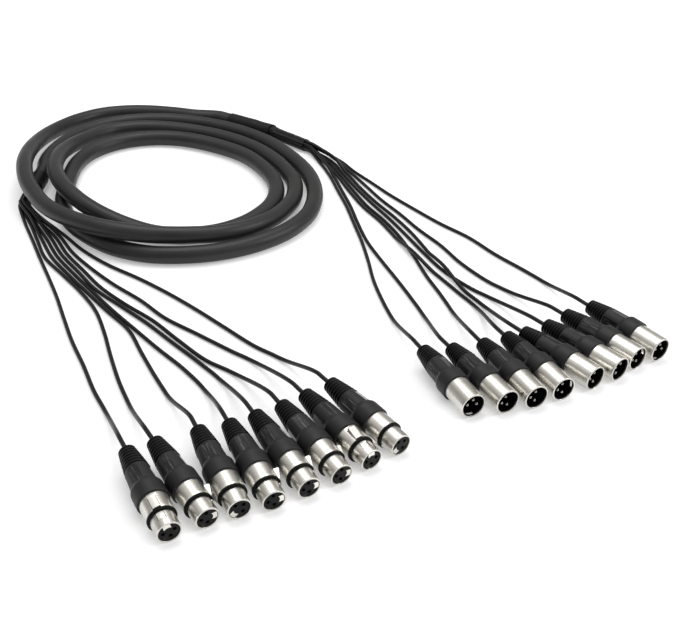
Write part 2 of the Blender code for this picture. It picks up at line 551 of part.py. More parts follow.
def coil_route():
    """The multicore's centreline: out of one sleeve, round the coil's stations, into the other."""
    into_pin = (PIN_SLEEVE_STEP - PIN_SLEEVE_START).normalized()
    into_socket = (SOCKET_SLEEVE_END - SOCKET_SLEEVE_START).normalized()
    lead = SLEEVE_SOCKET - CLEAR
    angles = np.array([row[0] for row in COIL_STATIONS], float)
    turn = np.radians(angles)
    out = np.array([row[1] for row in COIL_STATIONS])
    rise = np.array([row[2] for row in COIL_STATIONS])
    ring = np.column_stack((out * np.cos(turn), out * np.sin(turn), rise)) + np.array(COIL_MIDDLE)
    straight = 2 * MULTICORE_R
    pin_end = PIN_SLEEVE_START + into_pin * lead
    socket_end = SOCKET_SLEEVE_START + into_socket * lead
    points = [PIN_SLEEVE_START - into_pin * straight, *(Vector(p) for p in ring),
              SOCKET_SLEEVE_START - into_socket * straight]
    turns = (angles[-1] - angles[0]) / 360
    smooth = smooth_route(points, round(turns * COIL_POINTS_A_TURN) + 2, pin_end, socket_end)
    smooth[:, 2] = np.maximum(smooth[:, 2], FLOOR_Z)
    return np.vstack((tuple(pin_end), smooth, tuple(socket_end)))


def least_gap_to_itself(points, diameter, skip):
    """Smallest clear distance between stretches of a tube that are not next to each other."""
    least = 1.0
    for i in range(len(points)):
        for j in range(i + skip, len(points) - 1):
            along = points[j + 1] - points[j]
            share = np.clip((points[i] - points[j]) @ along / (along @ along), 0.0, 1.0)
            least = min(least, float(np.linalg.norm(points[i] - points[j] - share * along)))
    return least - diameter


def sleeve(name, start, end, profile, closed=False):
    """A turned sleeve that lies from start to end; its profile runs from its far end back."""
    made = turned(name + "_turned", profile, closed)
    data = evaluated_mesh(made, name)
    data.shade_smooth()
    data.set_sharp_from_angle(angle=radians(35))
    placed = link(name, data, finish=SHRINK)
    placed.matrix_world = (Matrix.Translation(start)
                           @ (end - start).to_track_quat("Z", "Y").to_matrix().to_4x4())
    return placed


def make_sleeves():
    """Wide shrink sleeves over the jacket's ends, narrow ones over the tails."""
    bore = MULTICORE_R / cos(pi / TURN_STEPS) + CLEAR
    wide = (PIN_SLEEVE_STEP - PIN_SLEEVE_START).length
    sleeve("pin_end_jacket_sleeve", PIN_SLEEVE_START, PIN_SLEEVE_STEP, [
        (wide, 0.0), (wide, JACKET_SLEEVE_R - SLEEVE_EDGE), (wide - SLEEVE_EDGE, JACKET_SLEEVE_R),
        (0.0, JACKET_SLEEVE_R), (0.0, bore), (SLEEVE_SOCKET, bore), (SLEEVE_SOCKET, 0.0)])
    gap = 2 * CLEAR
    along = (PIN_SLEEVE_END - PIN_SLEEVE_STEP).normalized()
    narrow_start = PIN_SLEEVE_STEP + along * gap
    narrow = (PIN_SLEEVE_END - narrow_start).length
    sleeve("pin_end_bundle_sleeve", narrow_start, PIN_SLEEVE_END, [
        (narrow, 0.0), (narrow, BUNDLE_SLEEVE_R - SLEEVE_EDGE), (narrow - SLEEVE_EDGE, BUNDLE_SLEEVE_R),
        (0.0, BUNDLE_SLEEVE_R), (0.0, 0.0)])
    total = (SOCKET_SLEEVE_END - SOCKET_SLEEVE_START).length
    taper_end = SOCKET_SLEEVE_STEP_AT + SOCKET_SLEEVE_TAPER
    sleeve("socket_end_sleeve", SOCKET_SLEEVE_START, SOCKET_SLEEVE_END, [
        (total, 0.0), (total, BUNDLE_SLEEVE_R - SLEEVE_EDGE), (total - SLEEVE_EDGE, BUNDLE_SLEEVE_R),
        (taper_end, BUNDLE_SLEEVE_R), (SOCKET_SLEEVE_STEP_AT, JACKET_SLEEVE_R),
        (0.0, JACKET_SLEEVE_R), (0.0, bore), (SLEEVE_SOCKET, bore), (SLEEVE_SOCKET, 0.0)])


def make_socket_plugs():
    shapes = {"core": socket_core_mesh(), "shell": socket_shell_mesh(), "latch": latch_mesh()}
    shapes["core"].materials.append(BLACK_PLASTIC)
    shapes["shell"].materials.append(NICKEL)
    shapes["latch"].materials.append(NICKEL)
    pivot_r, pivot_s = latch_pivot()
    frames = []
    for number, place in enumerate(SOCKET_PLUGS, 1):
        frame = plug_frame(place, SOCKET_LENGTH, SOCKET_COLLAR_END, SOCKET_NOSE_R)
        plug("socket_plug_%d" % number, frame, [
            ("socket_%d_boot_and_insert" % number, shapes["core"], (0, 0, 0)),
            ("socket_%d_shell" % number, shapes["shell"], (0, 0, 0)),
            ("socket_%d_release_latch" % number, shapes["latch"], (pivot_r, 0, pivot_s))])
        frames.append(frame)
    return frames


def make_pin_plugs():
    shapes = {"core": pin_core_mesh(), "shell": pin_shell_mesh()}
    shapes["core"].materials.append(BLACK_PLASTIC)
    shapes["shell"].materials.append(NICKEL)
    frames = []
    for number, place in enumerate(PIN_PLUGS, 1):
        frame = plug_frame(place, PIN_LENGTH, PIN_COLLAR_END, PIN_SHELL_R)
        plug("pin_plug_%d" % number, frame, [
            ("pin_%d_boot_and_insert" % number, shapes["core"], (0, 0, 0)),
            ("pin_%d_shell" % number, shapes["shell"], (0, 0, 0))])
        frames.append(frame)
    return frames


def make_tails(kind, end, axis, bundle, ways, frames):
    lengths = []
    for number, (slot, way, frame) in enumerate(zip(bundle, ways, frames), 1):
        points = tail("%s_%d_tail" % (kind, number), end, axis, slot, way, frame)
        lengths.append(route_length(points))
    print("%s tails, metres:" % kind, " ".join("%.3f" % length for length in lengths))


def main():
    socket_frames = make_socket_plugs()
    pin_frames = make_pin_plugs()
    make_sleeves()
    make_tails("socket", SOCKET_SLEEVE_END, (SOCKET_SLEEVE_END - SOCKET_SLEEVE_START).normalized(),
               SOCKET_BUNDLE, SOCKET_TAILS, socket_frames)
    make_tails("pin", PIN_SLEEVE_END, (PIN_SLEEVE_END - PIN_SLEEVE_STEP).normalized(),
               PIN_BUNDLE, PIN_TAILS, pin_frames)
    coil = coil_route()
    tube("multicore_coil", coil, MULTICORE_R, 1, JACKET)
    gap = least_gap_to_itself(coil, 2 * MULTICORE_R, COIL_POINTS_A_TURN // 3)
    print("multicore length %.3f m, least gap to itself %.2f mm" % (route_length(coil), gap * 1000))
    bpy.context.view_layer.update()


main()
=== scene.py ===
# %% [markdown]
# # An eight-way XLR cable loom
#
# A stage loom is one thick multicore cable that carries eight sound lines. At each end a shrink sleeve
# closes the jacket, and eight thin tails fan out to plugs: sockets with a release latch on one side, pins
# on the other. Here it lies loosely coiled on a white bench, seen from half a metre above it.
#
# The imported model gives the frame: every solid is already in its place, in metres. This lesson dresses it
# with finer surfaces. Each one is worked out with numpy as a grid of points, and a small set of helpers
# turns the grid into a mesh.

# %% Load the frame
from math import atan2, cos, pi, radians, sin

import bmesh
import bpy
import numpy as np
from mathutils import Matrix, Vector


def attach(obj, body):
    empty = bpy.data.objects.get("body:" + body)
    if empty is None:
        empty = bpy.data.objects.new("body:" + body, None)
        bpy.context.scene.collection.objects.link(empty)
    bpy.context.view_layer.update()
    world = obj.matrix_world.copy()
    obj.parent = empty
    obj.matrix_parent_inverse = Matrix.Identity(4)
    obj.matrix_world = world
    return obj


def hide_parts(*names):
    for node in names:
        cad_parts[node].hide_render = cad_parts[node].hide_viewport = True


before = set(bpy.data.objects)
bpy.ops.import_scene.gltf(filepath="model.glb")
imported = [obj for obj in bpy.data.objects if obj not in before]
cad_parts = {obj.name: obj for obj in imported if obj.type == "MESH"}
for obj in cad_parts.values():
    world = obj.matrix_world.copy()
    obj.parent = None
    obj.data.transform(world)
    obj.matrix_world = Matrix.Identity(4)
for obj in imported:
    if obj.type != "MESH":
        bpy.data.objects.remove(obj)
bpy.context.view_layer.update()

# %% [markdown]
# ## Camera
#
# The picture was taken with a short telephoto look from 46 cm above the bench, tipped 31 degrees down. A
# 60 mm lens on a 36 mm sensor gives the same perspective, so the near plugs come out as large against the
# coil as they should.

# %% Camera
LENS = 60.0
CAMERA_PLACE = (0.0285, -0.8339, 0.4620)
CAMERA_DIP = 31.0

camera_data = bpy.data.cameras.new("camera")
camera_data.lens = LENS
camera_data.sensor_width = 36.0
camera_data.sensor_fit = "HORIZONTAL"
camera_data.clip_start = 0.01
camera = bpy.data.objects.new("camera", camera_data)
camera.location = CAMERA_PLACE
camera.rotation_euler = (radians(90 - CAMERA_DIP), 0.0, 0.0)
bpy.context.scene.collection.objects.link(camera)
bpy.context.scene.camera = camera
print("camera, metres:", CAMERA_PLACE)

# %% [markdown]
# ## Bench and light
#
# The bench is a bright white sheet that runs out of view. Its colour, and not more light, makes it white:
# rays that come straight from the camera, or bounce off bright metal, see a little extra white, and the
# shadows stay because most of it is still a plain diffuse surface. Two wide soft lamps and an even world
# light the loom. A darker band low in the world gives the nickel its grey stripes.

# %% Bench
bench_mesh = bpy.data.meshes.new("bench")
bench_mesh.from_pydata([(-6, -4, 0), (6, -4, 0), (6, 9, 0), (-6, 9, 0)], [], [(0, 1, 2, 3)])
bench = bpy.data.objects.new("bench", bench_mesh)
bpy.context.scene.collection.objects.link(bench)
BENCH_GLOW = 0.30
BENCH_WHITE = (0.86, 0.86, 0.865, 1)
WHITE = (1, 1, 1, 1)


def feed(tree, socket, value):
    """Link a socket to another one, or give it a plain value."""
    if isinstance(value, bpy.types.NodeSocket):
        tree.links.new(value, socket)
    else:
        socket.default_value = value


def add(tree, kind, *feeds, **values):
    """A new node. Feeds go to its inputs in order, and values to its properties or its named inputs."""
    node = tree.nodes.new(kind)
    for name, value in values.items():
        if hasattr(node, name):
            setattr(node, name, value)
        else:
            feed(tree, node.inputs[name.replace("_", " ")], value)
    for socket, value in zip(node.inputs, feeds):
        feed(tree, socket, value)
    return node


def blended(tree, kind, factor, first, second):
    """The result of a Mix node. Its sockets are counted, since those of all its kinds share their names."""
    node = add(tree, "ShaderNodeMix", data_type=kind)
    a, b, result = (6, 7, 2) if kind == "RGBA" else (2, 3, 0)
    for place, value in ((0, factor), (a, first), (b, second)):
        feed(tree, node.inputs[place], value)
    return node.outputs[result]


bench_finish = bpy.data.materials.new("bench_white")
bench_finish.use_nodes = True
tree = bench_finish.node_tree
tree.nodes.clear()
rays = add(tree, "ShaderNodeLightPath").outputs
seen = add(tree, "ShaderNodeMath", rays["Is Camera Ray"], rays["Is Glossy Ray"], operation="MAXIMUM")
strength = add(tree, "ShaderNodeMath", seen.outputs[0], BENCH_GLOW, operation="MULTIPLY")
paper = add(tree, "ShaderNodeBsdfDiffuse", Color=BENCH_WHITE)
glow = add(tree, "ShaderNodeEmission", Color=WHITE, Strength=strength.outputs[0])
both = add(tree, "ShaderNodeAddShader", paper.outputs[0], glow.outputs[0])
add(tree, "ShaderNodeOutputMaterial", both.outputs[0])
bench_mesh.materials.append(bench_finish)
print("bench white:", BENCH_WHITE[:3], "and glow:", BENCH_GLOW)

# %% Lamps and world
WORLD_LIGHT = (0.62, 0.62, 0.62, 1)
LOW_GREY = 0.90
HIGH_GREY = 0.86
GREYS_BETWEEN = ((0.10, 0.60), (0.30, 0.26), (0.52, 0.42), (0.72, 0.78))


def softbox(name, place, aim, size, watts):
    """A square lamp of the given size that looks from its place to its aim."""
    data = bpy.data.lights.new(name, "AREA")
    data.shape = "RECTANGLE"
    data.size, data.size_y = size
    data.energy = watts
    lamp = bpy.data.objects.new(name, data)
    lamp.location = place
    lamp.rotation_euler = (Vector(aim) - Vector(place)).to_track_quat("-Z", "Y").to_euler()
    bpy.context.scene.collection.objects.link(lamp)


softbox("overhead_softbox", (-0.10, 0.50, 1.9), (0.0, 0.0, 0.0), (1.5, 1.2), 16.0)
softbox("side_softbox", (1.7, -0.1, 1.1), (0.0, -0.1, 0.0), (1.0, 0.7), 12.0)

world = bpy.data.worlds.new("studio")
bpy.context.scene.world = world
world.use_nodes = True
tree = world.node_tree
tree.nodes.clear()
split = add(tree, "ShaderNodeSeparateXYZ", add(tree, "ShaderNodeTexCoord").outputs["Generated"])
ramp = add(tree, "ShaderNodeValToRGB", split.outputs["Z"])
lowest, highest = ramp.color_ramp.elements
lowest.position, highest.position = 0.0, 1.0
lowest.color = (LOW_GREY, LOW_GREY, LOW_GREY, 1)
highest.color = (HIGH_GREY, HIGH_GREY, HIGH_GREY, 1)
for position, grey in GREYS_BETWEEN:
    ramp.color_ramp.elements.new(position).color = (grey, grey * 0.98, grey * 0.95, 1)
rays = add(tree, "ShaderNodeLightPath").outputs
glossy = blended(tree, "RGBA", rays["Is Glossy Ray"], WORLD_LIGHT, ramp.outputs["Color"])
sky = add(tree, "ShaderNodeBackground", blended(tree, "RGBA", rays["Is Camera Ray"], glossy, WHITE))
add(tree, "ShaderNodeOutputWorld", sky.outputs[0])
bpy.context.scene.view_settings.view_transform = "Standard"
print("lights:", len(bpy.data.lights))

# %% [markdown]
# ## Meshes from grids
#
# Nearly every piece here is round, so one helper does most of the work: it takes a stack of rings of points,
# joins each ring to the next, and closes the two ends with a fan of triangles. A ring runs anticlockwise
# seen from its far end, so the faces point outwards. Each face corner also gets a place in a UV map, one
# turn across and the length in centimetres along, so that a finish can follow the surface.

# %% Helpers for meshes
BODY = "loom"


def dress(piece, finish, stands_for=(), body=BODY):
    """Give a piece its finish, let it ride on its body, and hide the solids that it stands for."""
    piece.data.materials.append(finish)
    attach(piece, body)
    if stands_for:
        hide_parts(*stands_for)
    return piece


def stack_faces(rows, columns, close_rows=False):
    """Corner numbers of the quads of a grid, and the same for its UV places."""
    row = np.arange(rows if close_rows else rows - 1)
    i, j = (part.ravel() for part in np.meshgrid(row, np.arange(columns), indexing="ij"))
    up, right = (i + 1) % rows, (j + 1) % columns
    quads = np.column_stack((i * columns + j, i * columns + right, up * columns + right, up * columns + j))
    across = np.column_stack((j, j + 1, j + 1, j)) / columns
    along = np.column_stack((i, i, i + 1, i + 1))
    return quads, across, along


def shown(name, data, smooth=35):
    """An object for a mesh, at the origin, shaded smooth up to an angle in degrees."""
    data.shade_smooth()
    data.set_sharp_from_angle(angle=radians(smooth))
    piece = bpy.data.objects.new(name, data)
    bpy.context.scene.collection.objects.link(piece)
    return piece


def build(name, points, faces, uv=None, smooth=35):
    """A mesh object from points, faces, and a UV place for every corner of a face."""
    data = bpy.data.meshes.new(name)
    data.from_pydata(points.tolist(), [], faces)
    if uv is not None:
        layer = data.uv_layers.new(name="surface")
        layer.data.foreach_set("uv", np.asarray(uv, np.float32).ravel())
    data.update()
    return shown(name, data, smooth)


def lofted(name, rings, closed=False, smooth=35):
    """Rings of points, joined one after another; closed joins the last ring to the first."""
    rows, columns = rings.shape[:2]
    points = rings.reshape(-1, 3)
    quads, across, along = stack_faces(rows, columns, close_rows=closed)
    middle = rings.mean(axis=1)
    step = np.linalg.norm(np.diff(middle, axis=0), axis=1)
    reach = np.linalg.norm(np.diff(rings[:, 0], axis=0), axis=1)
    run = np.concatenate(([0.0], np.cumsum(np.maximum(step, reach)))) * 100
    run = np.append(run, run[-1] + 0.05)
    uv = np.stack((across, run[along]), axis=2).reshape(-1, 2)
    faces = quads.tolist()
    if not closed:
        first, last = len(points), len(points) + 1
        points = np.vstack((points, middle[:1], middle[-1:]))
        turn = np.arange(columns)
        after = (turn + 1) % columns
        base = (rows - 1) * columns
        start_fan = np.column_stack((after, turn, np.full(columns, first)))
        end_fan = np.column_stack((base + turn, base + after, np.full(columns, last)))
        faces += start_fan.tolist() + end_fan.tolist()
        uv = np.vstack((uv, np.zeros((6 * columns, 2))))
    return build(name, points, faces, uv, smooth)


def turn_angles(count):
    """Angles once round, in equal steps."""
    return np.arange(count) * (2 * pi / count)


def rings_about(along, radius, angle):
    """Rings about +Z, from a distance along and a radius for each ring or for each point."""
    along, radius, angle = np.broadcast_arrays(along, radius, angle)
    return np.stack((radius * np.cos(angle), radius * np.sin(angle), along), axis=2)


def revolved(profile, count):
    """Round rings about +Z: each row of the profile is (distance along, radius)."""
    profile = np.asarray(profile, float)
    return rings_about(profile[:, :1], profile[:, 1:], turn_angles(count)[None])


def placed(rings, place):
    """The same points after a 4 x 4 matrix."""
    matrix = np.array(place)
    return rings @ matrix[:3, :3].T + matrix[:3, 3]


def smooth_step(low, high, value):
    """0 up to low, 1 from high on, and between them 3 x^2 - 2 x^3 of the share x of the way."""
    share = np.clip((value - low) / (high - low), 0.0, 1.0)
    return share * share * (3 - 2 * share)


# %% [markdown]
# ## Cables
#
# A cable is a fixed length of something flexible, so it is made as a route first and a skin second. A route
# is a short list of places that the cable passes, and a centripetal Catmull-Rom curve runs through them: it
# turns softly, and never overshoots between two places that are close together. The skin is a ring of
# points carried along the route, square to it at every step.
#
# A plain tube would look like wire. The real jacket is soft, so the multicore's skin also swells and dips
# by a twentieth of a millimetre in slow, uneven waves.

# %% Routes
TAIL_R = 0.0016
MULTICORE_R = 0.00775
CLEAR = 0.0003
BENCH_GAP = 0.0001


def smooth_route(points, step, before=None, after=None):
    """Points every step metres on a centripetal Catmull-Rom curve through the given points.

    Between knots b and c the curve blends straight runs through a, b, c and d, each weighted by time, and
    the time between two knots is the square root of their distance.
    """
    knots = np.array([tuple(p) for p in points])
    first = 2 * knots[0] - knots[1] if before is None else np.array(before)
    last = 2 * knots[-1] - knots[-2] if after is None else np.array(after)
    knots = np.vstack((first, knots, last))
    gap = np.linalg.norm(np.diff(knots, axis=0), axis=1) ** 0.5
    share = np.linspace(0.0, 1.0, 40, endpoint=False)[None, :, None]
    a, b, c, d = (knots[k:len(knots) - 3 + k][:, None] for k in range(4))
    t1, t12, t23 = (gap[k:len(gap) - 2 + k][:, None, None] for k in range(3))
    t2, t3 = t1 + t12, t1 + t12 + t23
    t = t1 + share * t12
    ab = (t1 - t) / t1 * a + t / t1 * b
    bc = (t2 - t) / t12 * b + (t - t1) / t12 * c
    cd = (t3 - t) / t23 * c + (t - t2) / t23 * d
    abc = (t2 - t) / t2 * ab + t / t2 * bc
    bcd = (t3 - t) / (t3 - t1) * bc + (t - t1) / (t3 - t1) * cd
    fine = (t2 - t) / t12 * abc + (t - t1) / t12 * bcd
    fine = np.vstack((fine.reshape(-1, 3), knots[-2:-1]))
    run = np.concatenate(([0.0], np.cumsum(np.linalg.norm(np.diff(fine, axis=0), axis=1))))
    wanted = np.linspace(0.0, run[-1], max(4, round(run[-1] / step) + 1))
    return np.column_stack([np.interp(wanted, run, fine[:, axis]) for axis in range(3)])


def route_length(route):
    """The sum of the route's steps."""
    return float(np.linalg.norm(np.diff(route, axis=0), axis=1).sum())


def cable_rings(route, radius, count, swell=None):
    """A ring of points square to the route at each of its points; swell gives each point's own factor.

    Each ring's sideways direction is level and its upright is square to both, which suits cables that lie
    on a bench and never stand on end.
    """
    ahead = np.gradient(route, axis=0)
    ahead /= np.linalg.norm(ahead, axis=1)[:, None]
    side = np.cross(ahead, (0.0, 0.0, 1.0))
    side /= np.linalg.norm(side, axis=1)[:, None]
    upright = np.cross(side, ahead)
    angle = turn_angles(count)
    across = np.cos(angle)[None, :, None] * side[:, None] + np.sin(angle)[None, :, None] * upright[:, None]
    scale = np.full((len(route), count), radius)
    if swell is not None:
        scale = scale * swell(np.linspace(0.0, route_length(route), len(route))[:, None], angle[None])
    return route[:, None] + scale[:, :, None] * across


def raised(places, height):
    """Places that give only x and y get this height; the others keep their own."""
    return [(*place, height)[:3] for place in places]


# %% [markdown]
# ## Finishes
#
# The loom has few materials, and each is a common one. Two node groups carry what they share. The first is
# the fine grain of moulded rubber and plastic: a tiny bumpy noise, and slow soft patches where hands and
# mould have left it a little smoother. The second is the turning marks and light rubs on plated metal,
# which run round the shell, so it reads the UV map, whose first number goes once round.

# %% Shared node groups


def new_group(name, inputs, outputs):
    """A shader node group whose sockets are (name, kind, start value) for inputs, names for outputs."""
    group = bpy.data.node_groups.new(name, "ShaderNodeTree")
    for label, kind, value in inputs:
        socket = group.interface.new_socket(label, in_out="INPUT", socket_type=kind)
        if value is not None:
            socket.default_value = value
    for label in outputs:
        group.interface.new_socket(label, in_out="OUTPUT", socket_type="NodeSocketFloat")
    return group, add(group, "NodeGroupInput").outputs, add(group, "NodeGroupOutput").inputs


grain, given, result = new_group(
    "moulded_grain",
    [("Vector", "NodeSocketVector", None), ("Grain Scale", "NodeSocketFloat", 2500.0),
     ("Patch Scale", "NodeSocketFloat", 60.0)],
    ["Grain", "Patches"])
fine = add(grain, "ShaderNodeTexNoise", Vector=given["Vector"], Scale=given["Grain Scale"],
           Detail=3.0, Roughness=0.6)
slow = add(grain, "ShaderNodeTexNoise", Vector=given["Vector"], Scale=given["Patch Scale"],
           Detail=4.0, Roughness=0.55)
soft = add(grain, "ShaderNodeMapRange", Value=slow.outputs[0], From_Min=0.35, From_Max=0.65)
feed(grain, result["Grain"], fine.outputs[0])
feed(grain, result["Patches"], soft.outputs[0])

marks, given, result = new_group(
    "plated_marks",
    [("UV", "NodeSocketVector", None), ("Vector", "NodeSocketVector", None),
     ("Marks Scale", "NodeSocketFloat", 60.0)],
    ["Marks", "Rubs"])
stretch = add(marks, "ShaderNodeMapping", Vector=given["UV"], Scale=(0.6, 9.0, 1.0))
lines = add(marks, "ShaderNodeTexNoise", Vector=stretch.outputs[0], Scale=given["Marks Scale"],
            Detail=5.0, Roughness=0.7)
rub = add(marks, "ShaderNodeTexNoise", Vector=given["Vector"], Scale=90.0, Detail=5.0, Roughness=0.6)
rub_edge = add(marks, "ShaderNodeMapRange", Value=rub.outputs[0], From_Min=0.42, From_Max=0.68)
feed(marks, result["Marks"], lines.outputs[0])
feed(marks, result["Rubs"], rub_edge.outputs[0])
print("node groups:", len(bpy.data.node_groups))

# %% [markdown]
# Rubber and plastic differ in a few numbers: grey, roughness, how much their patches vary, how deep and how
# fine the grain is, and how much they reflect. A finish can also read a mask named shine that a mesh
# carries, from 0 where it is matte to 1 where the mould polished it. There the plastic is smooth, with pale
# streaks along the plug that are partly scuffs and partly painted highlights of the gloss.

# %% Black rubber and plastic
STREAK_SCALE = (42.0, 0.5, 1.0)
# Grey of the pale streaks on the polished flats: partly scuffs, partly a painted highlight for their gloss.
SCUFF_AND_HIGHLIGHT_GREY = (0.26, 0.26, 0.27, 1)


def new_finish(name):
    """A material, its tree, the inputs of its shader, and its texture coordinates."""
    finish = bpy.data.materials.new(name)
    finish.use_nodes = True
    tree = finish.node_tree
    return finish, tree, tree.nodes["Principled BSDF"].inputs, add(tree, "ShaderNodeTexCoord").outputs


def black_finish(name, grey, roughness, vary, depth, scales, reflect, shiny=None):
    """Moulded black: it varies in its patches, and has a fine grain of the given depth."""
    finish, tree, shader, place = new_finish(name)
    shader["Specular IOR Level"].default_value = reflect
    effect = add(tree, "ShaderNodeGroup", node_tree=grain, Vector=place["Object"],
                 Grain_Scale=scales[0], Patch_Scale=scales[1]).outputs
    dark, light = ((grey * k, grey * k, grey * 1.03 * k, 1) for k in (1 - vary, 1 + vary))
    tint = blended(tree, "RGBA", effect["Patches"], dark, light)
    rough = add(tree, "ShaderNodeMapRange", Value=effect["Patches"], To_Min=roughness * (1 - vary / 2),
                To_Max=roughness * (1 + vary / 2)).outputs[0]
    bump = add(tree, "ShaderNodeBump", Strength=1.0, Distance=depth, Height=effect["Grain"])
    if shiny is not None:
        mask = add(tree, "ShaderNodeAttribute", attribute_name="shine").outputs["Fac"]
        rough = blended(tree, "FLOAT", mask, rough, shiny)
        # Pale streaks along the plug on the polished flats, partly scuffs and partly painted highlight.
        along = add(tree, "ShaderNodeMapping", Vector=place["UV"], Scale=STREAK_SCALE)
        scuffs_and_highlights = add(tree, "ShaderNodeTexNoise", Vector=along.outputs[0], Scale=1.0, Detail=5.0,
                      Roughness=0.65)
        bright = add(tree, "ShaderNodeMapRange", Value=scuffs_and_highlights.outputs[0], From_Min=0.50, From_Max=0.70,
                     To_Max=0.62)
        on_flats = add(tree, "ShaderNodeMath", bright.outputs[0], mask, operation="MULTIPLY")
        tint = blended(tree, "RGBA", on_flats.outputs[0], tint, SCUFF_AND_HIGHLIGHT_GREY)
    feed(tree, shader["Base Color"], tint)
    feed(tree, shader["Roughness"], rough)
    feed(tree, shader["Normal"], bump.outputs[0])
    return finish


JACKET = black_finish("multicore_jacket", 0.016, 0.42, 0.20, 0.00004, (1800.0, 28.0), 0.38)
THIN_JACKET = black_finish("tail_jacket", 0.005, 0.33, 0.15, 0.00002, (2600.0, 40.0), 0.26)
SHRINK = black_finish("shrink_sleeve", 0.005, 0.52, 0.20, 0.00005, (1500.0, 50.0), 0.24)
BOOT = black_finish("boot_rubber", 0.0025, 0.36, 0.20, 0.00002, (3000.0, 90.0), 0.17)
GRIP = black_finish("grip_plastic", 0.011, 0.52, 0.18, 0.00002, (3200.0, 110.0), 0.34, shiny=0.16)
RING = black_finish("ring_rubber", 0.002, 0.45, 0.15, 0.00001, (4000.0, 150.0), 0.12)
INSERT = black_finish("contact_block", 0.002, 0.42, 0.20, 0.00001, (3500.0, 120.0), 0.16)
print("black finishes:", len(bpy.data.materials) - 1)

# %% Satin nickel


def metal_finish(name, colour, roughness, depth):
    """Plated metal: turning marks round it, and rubs that dull it a little."""
    finish, tree, shader, place = new_finish(name)
    shader["Metallic"].default_value = 1.0
    effect = add(tree, "ShaderNodeGroup", node_tree=marks, UV=place["UV"], Vector=place["Object"]).outputs
    rubbed = (*(c * 0.86 for c in colour), 1)
    rough = add(tree, "ShaderNodeMapRange", Value=effect["Rubs"], To_Min=roughness * 0.8,
                To_Max=roughness * 1.35)
    bump = add(tree, "ShaderNodeBump", Strength=1.0, Distance=depth, Height=effect["Marks"])
    feed(tree, shader["Base Color"], blended(tree, "RGBA", effect["Rubs"], (*colour, 1), rubbed))
    feed(tree, shader["Roughness"], rough.outputs[0])
    feed(tree, shader["Normal"], bump.outputs[0])
    return finish


NICKEL = metal_finish("satin_nickel", (0.70, 0.682, 0.637), 0.33, 0.000014)
LATCH_METAL = metal_finish("latch_nickel", (0.84, 0.82, 0.77), 0.36, 0.000012)
# The pins' metal is a dark grey, a painted shade for the shade deep inside the plug's mouth.
SHADED_CONTACT_METAL = metal_finish("contact_metal_painted_shade", (0.30, 0.29, 0.27), 0.17, 0.000004)
print("finishes:", len(bpy.data.materials))

# %% [markdown]
# ## The multicore and its tails
#
# The thick cable makes three turns and a bit. The outermost turn starts at the pin end's sleeve, climbs over
# the turn that comes back to the socket end, and sinks again into the middle of the pile. The places are
# read round the coil's middle: a turning angle that keeps growing, the distance out, and the height.

# %% Coil route
COIL_MIDDLE = Vector((-0.1365, 0.1861, 0.0))
FLOOR_Z = MULTICORE_R + BENCH_GAP
COIL_STATIONS = (
    (88, 0.155), (96, 0.163), (105, 0.1735), (113, 0.182), (121, 0.187), (130, 0.184, 0.0084),
    (138, 0.177, 0.0098), (147, 0.167, 0.0125), (158, 0.155, 0.0168), (169, 0.146, 0.0208),
    (181, 0.14, 0.024), (190, 0.1375, 0.0252), (198, 0.1368, 0.0252), (207, 0.137, 0.0246),
    (216, 0.1385, 0.024), (226, 0.1424, 0.0239), (236, 0.1462, 0.024), (248, 0.1508, 0.0244),
    (258, 0.155, 0.0244), (268, 0.1569, 0.023), (277, 0.1569, 0.0208), (286, 0.157, 0.0186),
    (293, 0.157, 0.0166), (300, 0.156, 0.015), (307, 0.153, 0.0136), (315, 0.148, 0.0118),
    (324, 0.141, 0.0098), (334, 0.1343, 0.0082), (344, 0.1273), (352, 0.1217), (361, 0.1142),
    (371, 0.1083), (383, 0.1035), (397, 0.101), (411, 0.1006), (427, 0.1035), (443, 0.11),
    (456, 0.1185), (467, 0.1275), (476, 0.1335, 0.0079), (485, 0.136, 0.0082), (494, 0.132, 0.0095),
    (505, 0.1255, 0.0125), (516, 0.1195, 0.016), (529, 0.1135, 0.02), (543, 0.11, 0.0226),
    (553, 0.109, 0.0236), (563, 0.1085, 0.0241), (576, 0.11, 0.0242), (586, 0.1125, 0.0234),
    (596, 0.1152, 0.0208), (607, 0.118, 0.0166), (619, 0.122, 0.0118), (631, 0.1285, 0.0084),
    (643, 0.135), (655, 0.137), (667, 0.1338), (678, 0.1275), (686, 0.1223), (695, 0.1153),
    (704, 0.1082), (714, 0.1), (726, 0.092), (740, 0.086), (757, 0.082), (779, 0.0805),
    (800, 0.0855), (816, 0.0925), (830, 0.0985), (845, 0.103), (859, 0.1045), (871, 0.1035),
    (885, 0.1005), (899, 0.098), (911, 0.0987), (923, 0.104), (938, 0.115), (954, 0.13),
    (967, 0.1428), (979, 0.156), (990, 0.1655), (1000, 0.17), (1010, 0.1727), (1021, 0.173),
    (1033, 0.1705), (1045, 0.1638), (1055, 0.155), (1065, 0.146), (1075, 0.1376), (1085, 0.1302),
    (1096, 0.124), (1108, 0.1206), (1123, 0.1206), (1140, 0.124), (1155, 0.1295), (1168, 0.137),
    (1178, 0.144), (1188, 0.1505), (1200, 0.155), (1212, 0.153), (1224, 0.146), (1236, 0.1385),
    (1248, 0.1318))
SLEEVE_SOCKET = 0.0120
JACKET_SLEEVE_R = 0.0085
BUNDLE_SLEEVE_R = 0.0060
PIN_SLEEVE_START = Vector((-0.0890, 0.3254, 0.0086))
PIN_SLEEVE_STEP = Vector((-0.0432, 0.2933, 0.0086))
PIN_SLEEVE_END = Vector((-0.0066, 0.2628, 0.0062))
SOCKET_SLEEVE_START = Vector((-0.2625, 0.1756, 0.0086))
SOCKET_SLEEVE_END = Vector((-0.2637, 0.1231, 0.0086))
SOCKET_SLEEVE_STEP_AT = 0.0250
COIL_STEP = 0.004
JACKET_AROUND = 48
SWELL = 0.006
SPIRAL = 0.004


